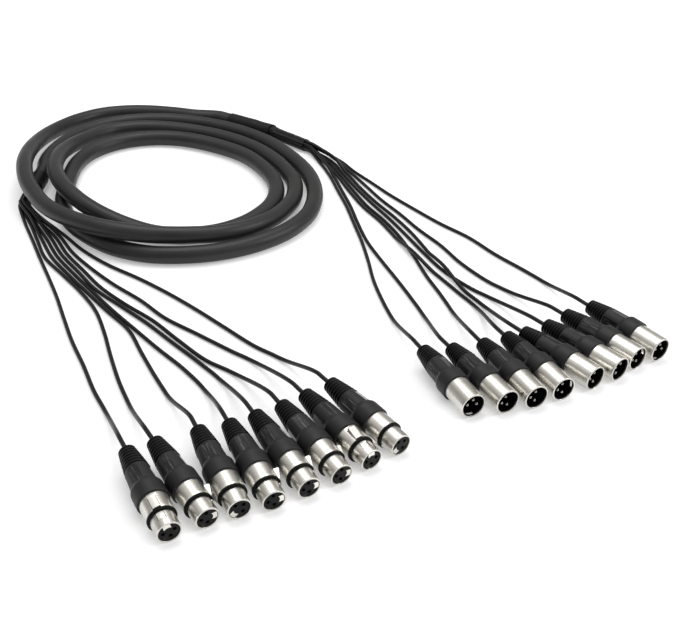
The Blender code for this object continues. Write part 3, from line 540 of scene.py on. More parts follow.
def coil_route(step):
    """The multicore's centreline, straight for one diameter outside each sleeve."""
    into_pin = (PIN_SLEEVE_STEP - PIN_SLEEVE_START).normalized()
    into_socket = (SOCKET_SLEEVE_END - SOCKET_SLEEVE_START).normalized()
    lead = SLEEVE_SOCKET - CLEAR
    straight = 2 * MULTICORE_R
    angle, out, rise = np.array(raised(COIL_STATIONS, FLOOR_Z)).T
    turn = np.radians(angle)
    ring = np.column_stack((out * np.cos(turn), out * np.sin(turn), rise)) + np.array(COIL_MIDDLE)
    pin_end = PIN_SLEEVE_START + into_pin * lead
    socket_end = SOCKET_SLEEVE_START + into_socket * lead
    points = [PIN_SLEEVE_START - into_pin * straight, *ring, SOCKET_SLEEVE_START - into_socket * straight]
    smooth = smooth_route(points, step, pin_end, socket_end)
    smooth[:, 2] = np.maximum(smooth[:, 2], FLOOR_Z)
    return np.vstack((tuple(pin_end), smooth, tuple(socket_end)))


def jacket_swell(run, angle):
    """Slow waves along the jacket, the product of two sines, plus the faint spiral of the cores inside."""
    slow = SWELL * np.sin(run * 61.0) * np.sin(run * 23.0 + 1.3)
    spiral = SPIRAL * np.cos(3 * angle - run * 95.0)
    return 1.0 - SWELL + slow + spiral


multicore_route = coil_route(COIL_STEP)
multicore_rings = cable_rings(multicore_route, MULTICORE_R, JACKET_AROUND, jacket_swell)
multicore = lofted("multicore_cable", multicore_rings)
dress(multicore, JACKET, ["multicore_coil"])
print("multicore, metres:", round(route_length(multicore_route), 3))

# %% [markdown]
# ## Plugs
#
# All sixteen plugs share a boot of ribbed rubber and a grip that swells into a collar. Each plug is shaped
# once, along its own axis from the tip of its boot, and then set down: its frame lies on its collar and its
# mouth, points the way it was dropped, and is rolled so that its key is at some hour of a clock.

# %% Where the plugs lie
COLLAR_R = 0.0108
PIN_CIRCLE_R = 0.00381
PIN_HOURS = (3, 6, 9)
LATCH_WIDTH = 0.0048
SOCKET_LENGTH = 0.0775
SOCKET_BOOT_END = 0.0225
SOCKET_GRIP_R = 0.0095
SOCKET_COLLAR_START = 0.0382
SOCKET_COLLAR_END = 0.0508
SOCKET_SHELL_R = 0.0095
SOCKET_RING_END = 0.0652
SOCKET_NOSE_R = 0.0081
SOCKET_NOSE_WALL = 0.0011
SOCKET_NOSE_START = 0.0658
SOCKET_NECK_R = 0.0058
SOCKET_NECK_END = 0.0666
SOCKET_FACE_DEPTH = 0.0008
SOCKET_RIM_CHAMFER = 0.0004
CONTACT_HOLE_DEPTH = 0.0040
LATCH_REAR = 0.0543
LATCH_PAD_END = 0.0637
LATCH_PAD_PROUD = (0.0033, 0.0006)
LATCH_SINK = 0.0001
LATCH_THICKNESS = 0.0006
LATCH_TOOTH = (0.0673, 0.0689)
LATCH_TOOTH_HEIGHT = 0.0009
LATCH_TONGUE_END = 0.0720
LATCH_BLOCK_LENGTH = 0.0022
LATCH_BLOCK_HEIGHT = 0.0029
LATCH_FRONT_GAP = 0.0003
PIN_LENGTH = 0.0715
PIN_BOOT_END = 0.0212
PIN_GRIP_R = 0.0092
PIN_COLLAR_START = 0.0372
PIN_COLLAR_END = 0.0494
PIN_SHELL_R = 0.0095
PIN_BORE_R = 0.0083
PIN_RIM_CHAMFER = 0.0005
PIN_FACE = 0.0560
PIN_R = 0.0012
PIN_TIP_BACK = 0.0015
WINDOW_BACK = (0.0019, 0.0039)
WINDOW_WIDTH = LATCH_WIDTH + 2 * CLEAR
PIN_SINK = 0.0010
SOCKET_PLUGS = (
    (-0.1076, -0.2604, -62.4, 11.5), (-0.0912, -0.2510, -58.2, 2.8),
    (-0.0646, -0.2384, -65.0, 7.7), (-0.0449, -0.2312, -64.3, 2.8),
    (-0.0285, -0.2216, -60.3, 2.8), (-0.0115, -0.2107, -57.6, 3.1),
    (0.0039, -0.1983, -54.2, 11.8), (0.0210, -0.1849, -52.0, 7.9))
PIN_PLUGS = (
    (0.0887, -0.1395, -64.2, 6.3), (0.1094, -0.1366, -61.1, 2.5),
    (0.1329, -0.1297, -63.8, 3), (0.1516, -0.1207, -62.3, 2.8),
    (0.1649, -0.1146, -51.2, 3), (0.1832, -0.1044, -49.6, 4),
    (0.2003, -0.0893, -50.8, 2.5), (0.2219, -0.0762, -53.5, 6.5))


def plug_frame(place, length, collar_end, mouth_r):
    """World matrix of a plug lying on its collar and its mouth: +Z to the mouth, +X to the key."""
    x, y, heading, hour = place
    tilt = atan2(COLLAR_R - mouth_r, length - collar_end)
    turn = radians(heading)
    axis = Vector((cos(turn) * cos(tilt), sin(turn) * cos(tilt), -sin(tilt)))
    height = COLLAR_R * cos(tilt) + collar_end * sin(tilt)
    up = (Vector((0, 0, 1)) - axis * axis.z).normalized()
    right = up.cross(axis)
    clock = radians(30 * hour)
    key = up * cos(clock) + right * sin(clock)
    matrix = Matrix((key, axis.cross(key), axis)).transposed().to_4x4()
    matrix.translation = Vector((x, y, height))
    return matrix


socket_frames = [plug_frame(row, SOCKET_LENGTH, SOCKET_COLLAR_END, SOCKET_NOSE_R) for row in SOCKET_PLUGS]
pin_frames = [plug_frame(row, PIN_LENGTH, PIN_COLLAR_END, PIN_SHELL_R) for row in PIN_PLUGS]
print("plugs:", len(socket_frames), "sockets,", len(pin_frames), "pins")

# %% [markdown]
# The tails fan out from the sleeves, one radius above the bench, and cross where the photograph shows one
# over another. Each slides a little into its boot and its sleeve, so that no end face shows.

# %% Tails
BUNDLE_RING_R = 0.0042
BUNDLE_FIRST_ANGLE = -12.9
BUNDLE_LEAD = 0.006
BOOT_LEAD = 0.013
TAIL_STEP = 0.0035
TAIL_AROUND = 20
LOW = TAIL_R + BENCH_GAP
SOCKET_BUNDLE = (1, 7, 2, 0, 3, 6, 4, 5)
PIN_BUNDLE = (1, 2, 0, 7, 3, 6, 4, 5)
OVER = 0.0055
TAIL_HIDDEN = 0.0030
SOCKET_TAILS = (
    ((-0.2566, 0.0886), (-0.2425, 0.0561), (-0.2288, 0.0236), (-0.2145, -0.0089), (-0.2005, -0.0419),
     (-0.1875, -0.0759), (-0.1745, -0.1089), (-0.1595, -0.1419), (-0.1455, -0.1749),
     (-0.131, -0.2039, 0.0024)),
    ((-0.2527, 0.0901), (-0.2389, 0.0577), (-0.2247, 0.0249), (-0.2038, -0.0046), (-0.183, -0.0336),
     (-0.1655, -0.0629), (-0.1525, -0.0959), (-0.1415, -0.1299), (-0.1295, -0.1639),
     (-0.1165, -0.1949, 0.0024)),
    ((-0.2509, 0.0909, 0.0064), (-0.2433, 0.0751, 0.0042), (-0.2353, 0.0593), (-0.2188, 0.0251),
     (-0.1983, -0.0056), (-0.1777, -0.0342), (-0.156, -0.0639), (-0.1345, -0.0924), (-0.1195, -0.1249),
     (-0.106, -0.1539), (-0.0915, -0.1829, 0.0024)),
    ((-0.249, 0.0916, 0.0029), (-0.2317, 0.0609), (-0.2148, 0.0271), (-0.1947, -0.0032),
     (-0.1737, -0.0329), (-0.1522, -0.0626), (-0.13, -0.0912), (-0.1075, -0.1199), (-0.0845, -0.1479),
     (-0.065, -0.1779, 0.0024)),
    ((-0.2471, 0.0923, 0.008), (-0.2376, 0.0775, 0.0042), (-0.2281, 0.0625), (-0.2112, 0.0296),
     (-0.1912, -0.0004), (-0.1713, -0.0299), (-0.1467, -0.0561), (-0.1215, -0.0829), (-0.0985, -0.1104),
     (-0.074, -0.1394), (-0.0555, -0.1639, 0.0024)),
    ((-0.2451, 0.0931), (-0.2245, 0.0641), (-0.2075, 0.0319), (-0.188, 0.0031), (-0.1673, -0.0269),
     (-0.1433, -0.0535), (-0.1175, -0.0789), (-0.0945, -0.1071), (-0.0707, -0.1347),
     (-0.046, -0.1549, 0.0024)),
    ((-0.2428, 0.0941, 0.004), (-0.2319, 0.0798, 0.0038), (-0.2209, 0.0657), (-0.2025, 0.0336),
     (-0.181, 0.0051), (-0.1575, -0.0219), (-0.1315, -0.0479), (-0.1085, -0.0749), (-0.0815, -0.0979),
     (-0.0535, -0.1219), (-0.0335, -0.1389, 0.0024)),
    ((-0.2401, 0.0953), (-0.2171, 0.0675), (-0.1945, 0.0381), (-0.1685, 0.0121), (-0.1395, -0.0109),
     (-0.1125, -0.0349), (-0.0865, -0.0609), (-0.0615, -0.0879), (-0.0365, -0.1149),
     (-0.0135, -0.1349, 0.0024)))
PIN_TAILS = (
    ((0.0097, 0.2239), (0.019, 0.1936), (0.0265, 0.1611), (0.0345, 0.1271), (0.041, 0.0916),
     (0.0475, 0.0561), (0.0525, 0.0201), (0.0565, -0.0159), (0.0635, -0.0519), (0.0705, -0.0799, 0.0024)),
    ((0.0121, 0.2252, OVER), (0.0173, 0.2102, 0.0046), (0.0223, 0.1954), (0.0302, 0.1621),
     (0.0383, 0.1271), (0.0449, 0.0906), (0.0525, 0.0551), (0.0635, 0.0211), (0.0755, -0.0129),
     (0.0865, -0.0459), (0.095, -0.0749, 0.0024)),
    ((0.0173, 0.228), (0.0287, 0.1991), (0.0403, 0.1641), (0.0536, 0.1281), (0.0689, 0.0966),
     (0.0817, 0.0636), (0.0917, 0.0291), (0.1005, -0.0069), (0.1105, -0.0399), (0.118, -0.0689, 0.0024)),
    ((0.0138, 0.2261), (0.0255, 0.1972), (0.0365, 0.1629), (0.0498, 0.1266), (0.0653, 0.0946),
     (0.0782, 0.0615), (0.091, 0.0286, 0.006), (0.1078, -0.0024), (0.1249, -0.0354),
     (0.137, -0.0599, 0.0024)),
    ((0.0224, 0.2308, 0.0066), (0.0288, 0.2166, 0.0046), (0.0352, 0.2027), (0.0477, 0.1691),
     (0.0626, 0.1351), (0.0788, 0.1031), (0.0927, 0.0711), (0.1047, 0.0361), (0.111, 0.0161, 0.0049),
     (0.1163, 0.0011, 0.006), (0.13, -0.0319), (0.1445, -0.0599, 0.0024)),
    ((0.0208, 0.2299), (0.0318, 0.2009), (0.044, 0.1671), (0.0589, 0.1321), (0.074, 0.0996),
     (0.0878, 0.0666), (0.101, 0.0336), (0.1163, 0.0003), (0.1355, -0.0279), (0.153, -0.0479, 0.0024)),
    ((0.0244, 0.2319, 0.0036), (0.0387, 0.2047), (0.0528, 0.1741), (0.0675, 0.1411), (0.084, 0.1101),
     (0.099, 0.0791), (0.1165, 0.0481), (0.1315, 0.0151), (0.1505, -0.0159), (0.1685, -0.0369, 0.0024)),
    ((0.028, 0.2341), (0.0425, 0.2069), (0.0585, 0.1811), (0.076, 0.1521), (0.097, 0.1216),
     (0.119, 0.0911), (0.1425, 0.0631), (0.1625, 0.0311), (0.1845, 0.0011), (0.199, -0.0214, 0.0024)))


def bundle_place(end, axis, slot):
    """Where a tail leaves a sleeve: the centre for slot 0, the ring for slots 1 to 7."""
    if slot == 0:
        return end.copy()
    right = axis.cross(Vector((0, 0, 1))).normalized()
    up = right.cross(axis)
    turn = radians(BUNDLE_FIRST_ANGLE + (slot - 1) * 360 / 7)
    return end + BUNDLE_RING_R * (right * cos(turn) + up * sin(turn))


def tail_route(end, axis, slot, way, plug):
    """A tail's centreline from just inside its sleeve to just inside its boot."""
    start = bundle_place(end, axis, slot) + axis * CLEAR
    back = -plug.col[2].to_3d()
    boot = plug.translation + back * CLEAR
    points = [start + axis * BUNDLE_LEAD, *raised(way, LOW), plug.translation + back * BOOT_LEAD]
    smooth = smooth_route(points, TAIL_STEP, start, boot)
    smooth[:, 2] = np.maximum(smooth[:, 2], LOW)
    return np.vstack((tuple(start - axis * TAIL_HIDDEN), tuple(start), smooth, tuple(boot),
                      tuple(boot - back * TAIL_HIDDEN)))


def make_tails(kind, end, axis, bundle, ways, frames):
    """Eight tails, each along its own way to its own plug."""
    lengths = []
    for number, (slot, way, plug) in enumerate(zip(bundle, ways, frames), 1):
        route = tail_route(end, axis, slot, way, plug)
        name = "%s_%d_cable" % (kind, number)
        piece = lofted(name, cable_rings(route, TAIL_R, TAIL_AROUND))
        dress(piece, THIN_JACKET, ["%s_%d_tail" % (kind, number)])
        length = route_length(route)
        lengths.append(length)
    print(kind, "tails, metres:", " ".join("%.3f" % length for length in lengths))


socket_axis = (SOCKET_SLEEVE_END - SOCKET_SLEEVE_START).normalized()
pin_axis = (PIN_SLEEVE_END - PIN_SLEEVE_STEP).normalized()
make_tails("socket", SOCKET_SLEEVE_END, socket_axis, SOCKET_BUNDLE, SOCKET_TAILS, socket_frames)
make_tails("pin", PIN_SLEEVE_END, pin_axis, PIN_BUNDLE, PIN_TAILS, pin_frames)

# %% [markdown]
# ## Shrink sleeves
#
# Heat shrink hugs what is inside it, so it shows the shoulder where the jacket ends and a soft ridge over
# each tail. It is cut by hand, so its ends are never quite straight. The sleeve is a thin wall: an outer
# skin, a cut edge, and an inner skin that runs back out of sight.

# %% Sleeves
SLEEVE_ROWS = 70
BACK_ROWS = 14
BACK_LENGTH = 0.012
EDGE_DEPTHS = (0.00015, 0.0004, 0.0006)
SLEEVE_WALL = 0.0007
SLEEVE_BORE_R = 0.0076
BORE_LENGTH = 0.004


def between(start, end):
    """World matrix with its origin at the start and +Z towards the end."""
    way = (end - start).to_track_quat("Z", "Y").to_matrix().to_4x4()
    return Matrix.Translation(start) @ way


def sleeve(name, start, end, wide, narrow, shoulder, ragged, stands_for, hug=0.00035):
    """A sleeve that narrows smoothly at its shoulder.

    Outer radius = wide to narrow by a smooth step over 5 mm, plus seven soft ridges where the tails lie
    under it, plus slow uneven waves. Its far end moves in and out by the ragged amount round the edge. Only
    a sleeve that is wide at its start shows a bore there.
    """
    length = (end - start).length
    back = length - BACK_LENGTH
    run = np.concatenate((np.linspace(0.0, length, SLEEVE_ROWS), np.full(len(EDGE_DEPTHS), length),
                          np.linspace(length, back, BACK_ROWS)))[:, None]
    depth = np.concatenate((np.zeros(SLEEVE_ROWS), EDGE_DEPTHS, np.full(BACK_ROWS, SLEEVE_WALL)))[:, None]
    angle = turn_angles(84)[None]
    down = smooth_step(shoulder - 0.0025, shoulder + 0.0025, run)
    ridges = hug * down * (np.cos(7 * angle + 0.5) - 0.6)
    waves = 0.0001 * np.sin(run * 420 + 2 * angle) * np.cos(3 * angle + run * 150)
    radius = wide + (narrow - wide) * down + ridges + waves - depth
    edge = ragged * (0.6 * np.sin(2 * angle + 0.7) + 0.3 * np.sin(5 * angle) + 0.15 * np.sin(11 * angle + 1))
    share = smooth_step(back, length, run)
    along = np.clip(run + edge * share - 0.5 * ragged * share, 0.0, length + 0.0002)
    rings = rings_about(along, radius, angle)
    if wide > SLEEVE_BORE_R:
        bore = rings_about(np.array([[BORE_LENGTH], [0.0]]), np.array([[SLEEVE_BORE_R]]), angle)
        rings = np.concatenate((bore, rings))
    piece = lofted(name, placed(rings, between(start, end)))
    return dress(piece, SHRINK, stands_for)


sleeve("pin_jacket_shrink", PIN_SLEEVE_START, PIN_SLEEVE_STEP, JACKET_SLEEVE_R, JACKET_SLEEVE_R - 0.0004,
       0.035, 0.0006, ["pin_end_jacket_sleeve"], hug=0.0)
sleeve("pin_bundle_shrink", PIN_SLEEVE_STEP - pin_axis * 0.004, PIN_SLEEVE_END, 0.0068,
       BUNDLE_SLEEVE_R + 0.0003, 0.010, 0.0007, ["pin_end_bundle_sleeve"])
sleeve("socket_shrink", SOCKET_SLEEVE_START, SOCKET_SLEEVE_END, JACKET_SLEEVE_R, BUNDLE_SLEEVE_R,
       SOCKET_SLEEVE_STEP_AT, 0.0035, ["socket_end_sleeve"])
print("socket sleeve, metres:", round((SOCKET_SLEEVE_END - SOCKET_SLEEVE_START).length, 4))

# %% [markdown]
# ## Boot, grip and collar
#
# The boot is a row of soft ribs round a cone: rounded rubber lips with narrower valleys between them, so
# that it bends with the cable. A raised cosine to the power 2.2 makes the valleys narrower than the lips.
# As in the photograph, the boots end 1.8 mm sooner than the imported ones, and the grips start there.
#
# The grip has four polished flats pressed into its matte body, a smooth S into the collar, and the collar
# rolls over at its front. A flat lies 0.62 mm under the round body all along, so the radius there is the
# smaller of the body's own and, from 0.62 mm inside it, that radius divided by the cosine of the angle from
# the flat's middle. Towards the collar the flat ends in a U.

# %% Boot and grip shapes
AROUND = 120
FLAT_HALF = 0.0034
FLAT_DEPTH = 0.00062
BOOT_REAR_R = 0.0050
BOOT_FRONT_R = 0.0079
BOOT_SHORTER = 0.0018
BOOT_TIP = [(0.0026, 0.0019), (0.0, 0.0019), (0.0, 0.0034), (0.00015, 0.0040), (0.0004, 0.0044)]
RIBS = 7
LIP_RISE = 0.00055
VALLEY_DEPTH = 0.00095
GRIP_REAR_R = 0.0085
COLLAR_EDGE = 0.0008
COLLAR_DROP = 0.0006
SHINE_AT = 0.0002


def boot_profile(end):
    """Distance and radius along the boot: a cone whose ribs are cosines raised to a power."""
    s = np.linspace(0.0007, end, 150)
    core = BOOT_REAR_R + (BOOT_FRONT_R - BOOT_REAR_R) * (s / end) ** 0.9
    phase = (s - 0.0006) / (end - 0.0012) * RIBS
    valley = (0.5 + 0.5 * np.cos(2 * pi * phase)) ** 2.2
    radius = core + LIP_RISE - VALLEY_DEPTH * valley
    back = [(end + 0.0004, radius[-1]), (end + 0.0006, 0.0040)]
    return np.vstack((BOOT_TIP, np.column_stack((s, radius)), back))


def grip_rings(boot_end, grip_r, flare, collar, shell_r, turn):
    """Grip and collar as one skin, with its four flats turned by an angle, and the shine mask.

    A point is as shiny as it lies deep under the round body, from 0 on it to 1 at 0.2 mm.
    """
    bend = np.linspace(0.1, pi / 2, 8)
    edge = collar - COLLAR_EDGE
    s = np.concatenate(([boot_end + 0.0003] * 2, np.linspace(boot_end + 0.0005, flare, 70),
                        np.linspace(flare, edge, 34)[1:], edge + COLLAR_EDGE * np.sin(bend),
                        np.full(3, collar)))
    r = np.interp(s, (boot_end, boot_end + 0.0010, flare), (GRIP_REAR_R - 0.0004, GRIP_REAR_R, grip_r))
    r = r + (COLLAR_R - grip_r) * smooth_step(flare - 0.0022, flare + 0.0022, s)
    r[0] = 0.0070
    r[-11:-3] = COLLAR_R - COLLAR_DROP * (1 - np.cos(bend))
    r[-3:] = (COLLAR_R - 0.0010, shell_r + 0.0003, shell_r - 0.0008)
    s, r = s[:, None], r[:, None]
    angle = turn_angles(AROUND)[None]
    away = (angle - turn + pi / 4) % (pi / 2) - pi / 4
    start, stop = boot_end + 0.0014, flare + 0.0002
    offset = r * np.abs(np.sin(away))
    round_end = FLAT_HALF - np.sqrt(np.clip(FLAT_HALF ** 2 - offset ** 2, 0.0, None))
    reach = stop - 0.8 * round_end - s
    within = smooth_step(0.0, 0.0007, reach) * smooth_step(start - 0.0004, start + 0.0004, s)
    flat = (r - FLAT_DEPTH) / np.cos(away) + (1 - within) * 0.0015
    radius = np.minimum(r, flat)
    return rings_about(s, radius, angle), np.clip((r - radius) / SHINE_AT, 0, 1)


def with_shine(piece, shine):
    """Write the shine mask onto the points; the two points that close the ends get none."""
    layer = piece.data.attributes.new("shine", "FLOAT", "POINT")
    values = np.zeros(len(piece.data.vertices), np.float32)
    values[:shine.size] = shine.ravel()
    layer.data.foreach_set("value", values)


# %% Boots and grips
FLARE_EARLIER = 0.0004
FLAT_TURNS = {"socket": (10, 25, -20, 5, 30, 15, -10, 20), "pin": (-15, 20, 5, 30, -5, 10, 25, 0)}


def make_bodies(kind, frames, boot_end, grip_r, flare, collar, shell_r):
    """A boot and a grip for every plug of one kind."""
    boot = revolved(boot_profile(boot_end), AROUND)
    for number, (plug, turn) in enumerate(zip(frames, FLAT_TURNS[kind]), 1):
        stem = "%s_%d_" % (kind, number)
        piece = lofted(stem + "boot", placed(boot, plug))
        dress(piece, BOOT, [stem + "boot_and_insert"])
        rings, shine = grip_rings(boot_end, grip_r, flare, collar, shell_r, radians(turn))
        piece = lofted(stem + "grip", placed(rings, plug), smooth=28)
        with_shine(piece, shine)
        dress(piece, GRIP)
    print(kind, "boots and grips:", len(frames))


make_bodies("socket", socket_frames, SOCKET_BOOT_END - BOOT_SHORTER, SOCKET_GRIP_R,
            SOCKET_COLLAR_START - FLARE_EARLIER, SOCKET_COLLAR_END, SOCKET_SHELL_R)
make_bodies("pin", pin_frames, PIN_BOOT_END - BOOT_SHORTER, PIN_GRIP_R,
            PIN_COLLAR_START - FLARE_EARLIER, PIN_COLLAR_END, PIN_SHELL_R)

# %% [markdown]
# ## Shells
#
# A shell is a thin nickel tube, and its wall has two skins: out along the outer radius, over a rolled rim,
# and back along the inner one. Where a latch or its window comes through, the points slide round the wall
# to two straight sides, the quads between them are left out, and four small walls join the skins.

# %% A wall with an opening


def rolled(rows, rounding, steps=7):
    """Rows (along, outer radius, inner radius) whose last one is rolled over by a quarter circle."""
    along, outer, inner = rows[-1]
    turn = np.linspace(0.0, pi / 2, steps)
    drop = rounding * (1 - np.cos(turn))
    rim = np.column_stack((along - rounding + rounding * np.sin(turn), outer - drop, inner + drop * 0.6))
    return np.vstack((rows[:-1], rim))


def wall(name, rows, plug, half=0.0020, opening=None, around=150, across=14):
    """A tube made from rows (along, outer radius, inner radius), from its rear to its rim.

    opening gives the first and last row of a straight-sided opening at the key. At radius r, a side at half
    width h stands at the angle arcsin(h / r), which keeps the two sides flat and parallel.
    """
    rows = np.asarray(rows, float)
    count = len(rows)
    along = np.concatenate((rows[:, 0], rows[::-1, 0]))[:, None]
    radius = np.concatenate((rows[:, 1], rows[::-1, 2]))[:, None]
    side = np.arcsin(half / radius)
    angle = np.hstack((side * np.linspace(-1, 1, across + 1),
                       side + (2 * pi - 2 * side) * np.linspace(0, 1, around + 1)[1:-1]))
    columns = across + around
    points = rings_about(along, radius, angle)
    quads, turn, row = stack_faces(2 * count, columns, close_rows=True)
    step = np.linalg.norm(np.diff(np.hstack((along, radius)), axis=0), axis=1)
    run = np.concatenate(([0.0], np.cumsum(step))) * 100
    run = np.append(run, run[-1] + 0.1)
    uv = np.stack((turn, run[row]), axis=2)
    if opening is not None:
        low, high = opening
        i, j = np.divmod(np.arange(len(quads)), columns)
        in_outer = (i >= low) & (i < high)
        in_inner = (i >= 2 * count - 1 - high) & (i < 2 * count - 1 - low)
        keep = ~((in_outer | in_inner) & (j < across))
        quads, uv = quads[keep], uv[keep]
        outer = np.arange(2 * count)[:, None] * columns + np.arange(columns)
        inner = outer[::-1]
        c, r = np.arange(across), np.arange(low, high)
        walls = np.vstack((
            np.column_stack((outer[low, c], outer[low, c + 1], inner[low, c + 1], inner[low, c])),
            np.column_stack((outer[high, c + 1], outer[high, c], inner[high, c], inner[high, c + 1])),
            np.column_stack((outer[r, across], outer[r + 1, across], inner[r + 1, across], inner[r, across])),
            np.column_stack((outer[r + 1, 0], outer[r, 0], inner[r, 0], inner[r + 1, 0]))))
        places = np.stack((walls % columns / columns, run[walls // columns]), axis=2)
        quads, uv = np.vstack((quads, walls)), np.vstack((uv, places))
    return build(name, placed(points, plug).reshape(-1, 3), quads.tolist(), uv.reshape(-1, 2), smooth=40)


def joined(name, pieces):
    """One mesh object from several bare ones."""
    made = bmesh.new()
    for piece in pieces:
        made.from_mesh(piece.data)
    data = bpy.data.meshes.new(name)
    made.to_mesh(data)
    made.free()
    for piece in pieces:
        bpy.data.objects.remove(piece)
    return shown(name, data)


# %% [markdown]
# ## Pin plug fronts
#
# A pin plug's shell is a plain drawn tube with one window near the rim, which catches the other plug's
# latch. A black lining, painted shade for the dark inside of the shell, and a black contact block fill it,
# so its mouth looks dark, and three turned pins with domed tips stand in it, a quarter turn apart. In four
# of the plugs the lining is open under the window; in the others it closes the window with black, painted
# shade where the window would show through.

# %% Pin fronts
PIN_AROUND = 32
DOME_LENGTH = 0.0011
OPEN_SHADE_LININGS = (1, 4, 7, 8)
SHELL_HIDDEN = 0.0012
SHELL_MIDDLE = 0.062
SHADE_LINING_GAP = 0.00004
SHADE_LINING_WALL = 0.00022
SHADE_LINING_BACK = 0.0011
FACE_STEPS = ((0.0079, 0.0), (0.0070, 0.00035), (0.0058, 0.0), (0.0029, 0.0003), (0.0018, 0.0))
STEP_SLOPE = 0.0001


def on_circle(radius, hour):
    """Across and up from the plug's middle, at an hour counted from its key."""
    return radius * cos(radians(30 * hour)), radius * sin(radians(30 * hour))


def pin_rod(name, plug, hour):
    """A turned pin: straight, then a dome whose radius falls as the cosine of its angle."""
    dome = np.linspace(0.0, pi / 2, 10)[:-1]
    neck = PIN_LENGTH - PIN_TIP_BACK - DOME_LENGTH
    profile = [(PIN_FACE - PIN_SINK, PIN_R), (PIN_FACE + 0.004, PIN_R), (neck, PIN_R)]
    profile += list(zip(neck + DOME_LENGTH * np.sin(dome), PIN_R * np.cos(dome)))
    rings = revolved(profile, PIN_AROUND) + (*on_circle(PIN_CIRCLE_R, hour), 0.0)
    return lofted(name, placed(rings, plug))


def make_pin_front(number, plug):
    """Shell, painted-shade lining, contact block and pins of one plug; its lining ends a little behind the
    rim.
    """
    stem = "pin_%d_" % number
    near, far = (PIN_LENGTH - back for back in WINDOW_BACK)
    window = (far, (far + near) / 2, near)
    places = (PIN_COLLAR_END - SHELL_HIDDEN, PIN_COLLAR_END, PIN_FACE, SHELL_MIDDLE, *window,
              PIN_LENGTH - 0.0008, PIN_LENGTH)
    rows = rolled([(s, PIN_SHELL_R, PIN_BORE_R) for s in places], PIN_RIM_CHAMFER)
    shell = wall(stem + "nickel_shell", rows, plug, WINDOW_WIDTH / 2, (4, 6))
    dress(shell, NICKEL, [stem + "shell"])
    shade_lining_r = PIN_BORE_R - SHADE_LINING_GAP
    places = (PIN_FACE - 0.001, PIN_FACE, SHELL_MIDDLE, *window, PIN_LENGTH - SHADE_LINING_BACK)
    rows = rolled([(s, shade_lining_r, shade_lining_r - SHADE_LINING_WALL) for s in places], 0.0001, 3)
    # The black lining is painted shade inside the shell; where it stays closed it covers the window with
    # black as painted shade.
    opening = (3, 5) if number in OPEN_SHADE_LININGS else None
    shade_lining = wall(stem + "shade_lining", rows, plug, WINDOW_WIDTH / 2, opening)
    dress(shade_lining, INSERT)
    steps = [(PIN_FACE - 0.0030, shade_lining_r - 0.0003)]
    for radius, rise in FACE_STEPS:
        steps += [(PIN_FACE + rise, radius + STEP_SLOPE), (PIN_FACE + rise, radius - STEP_SLOPE)]
    block = lofted(stem + "contact_block", placed(revolved(steps, 96), plug))
    dress(block, INSERT)
    pins = joined(stem + "contacts", [pin_rod("rod", plug, hour) for hour in PIN_HOURS])
    # The pins' dark metal is painted shade of the mouth.
    dress(pins, SHADED_CONTACT_METAL)


for number, plug in enumerate(pin_frames, 1):
    make_pin_front(number, plug)
print("pin fronts:", len(pin_frames))

# %% [markdown]
# ## Socket plug fronts
#
# A socket plug's shell steps down from a wide rear to a slim nose, and a black rubber ring covers the
# step; the bench presses the ring flat where it touches. The latch is one springy strip: a thumb pad that
# stands proud behind the ring, a tongue with a small tooth in front of it, and a lever under the closed end
# of the nose with a square block in the mouth, which is also the key. The contact block has three holes
# with sloping edges.

# %% Contact block of a socket
HOLE_R = 0.00115
HOLE_EDGE_R = 0.00165


def cut(target, cutter):
    """Take the cutter's shape out of the target and drop the cutter."""
    step = target.modifiers.new("cut", "BOOLEAN")
    step.operation = "DIFFERENCE"
    step.solver = "EXACT"
    step.object = cutter
    made = bpy.data.meshes.new_from_object(target.evaluated_get(bpy.context.evaluated_depsgraph_get()))
    target.modifiers.clear()
    target.data = made
    bpy.data.objects.remove(cutter)


def box(name, low, high):
    """A box from its lowest corner to its highest."""
    corners = np.array([(x, y, z) for x in (0, 1) for y in (0, 1) for z in (0, 1)])
    points = np.array(low) + corners * (np.array(high) - np.array(low))
    faces = [(0, 1, 3, 2), (4, 6, 7, 5), (0, 4, 5, 1), (2, 3, 7, 6), (0, 2, 6, 4), (1, 5, 7, 3)]
    return build(name, points, faces)


def contact_block():
    """The block in its plug's own frame, with holes for the other plug's pins and a notch for the latch."""
    face = SOCKET_LENGTH - SOCKET_FACE_DEPTH
    edge = SOCKET_NOSE_R - SOCKET_NOSE_WALL - 0.00005
    profile = [(SOCKET_COLLAR_END, SOCKET_NECK_R), (SOCKET_NECK_END, SOCKET_NECK_R), (SOCKET_NECK_END, edge),
               (face - 0.0002, edge), (face - 0.00006, edge - 0.00006), (face, edge - 0.0002), (face, 0.0010)]
    block = lofted("socket_contact_block", revolved(profile, 96), smooth=30)
    hole = [(face - CONTACT_HOLE_DEPTH, HOLE_R), (face - 0.0004, HOLE_R), (face + 0.0002, HOLE_EDGE_R),
            (face + 0.001, HOLE_EDGE_R)]
    for hour in PIN_HOURS:
        cut(block, lofted("hole", revolved(hole, PIN_AROUND) + (*on_circle(PIN_CIRCLE_R, hour), 0.0)))
    half = LATCH_WIDTH / 2 + CLEAR
    floor = lever_top() - LATCH_BLOCK_HEIGHT - CLEAR
    cut(block, box("notch", (floor, -half, SOCKET_NECK_END - CLEAR), (COLLAR_R, half, SOCKET_LENGTH)))
    return block


def copied(master, name, plug):
    """A copy of a piece, its points moved by the plug's matrix."""
    data = master.data.copy()
    data.transform(plug)
    return shown(name, data)


def lever_top():
    """Radius of the latch's top where it runs under the nose's closed front."""
    return SOCKET_NOSE_R - SOCKET_NOSE_WALL - CLEAR


# %% Latch
HEEL_LENGTH = 0.0012
HEEL_DROP = 0.0004
LATCH_EDGE = 0.00012


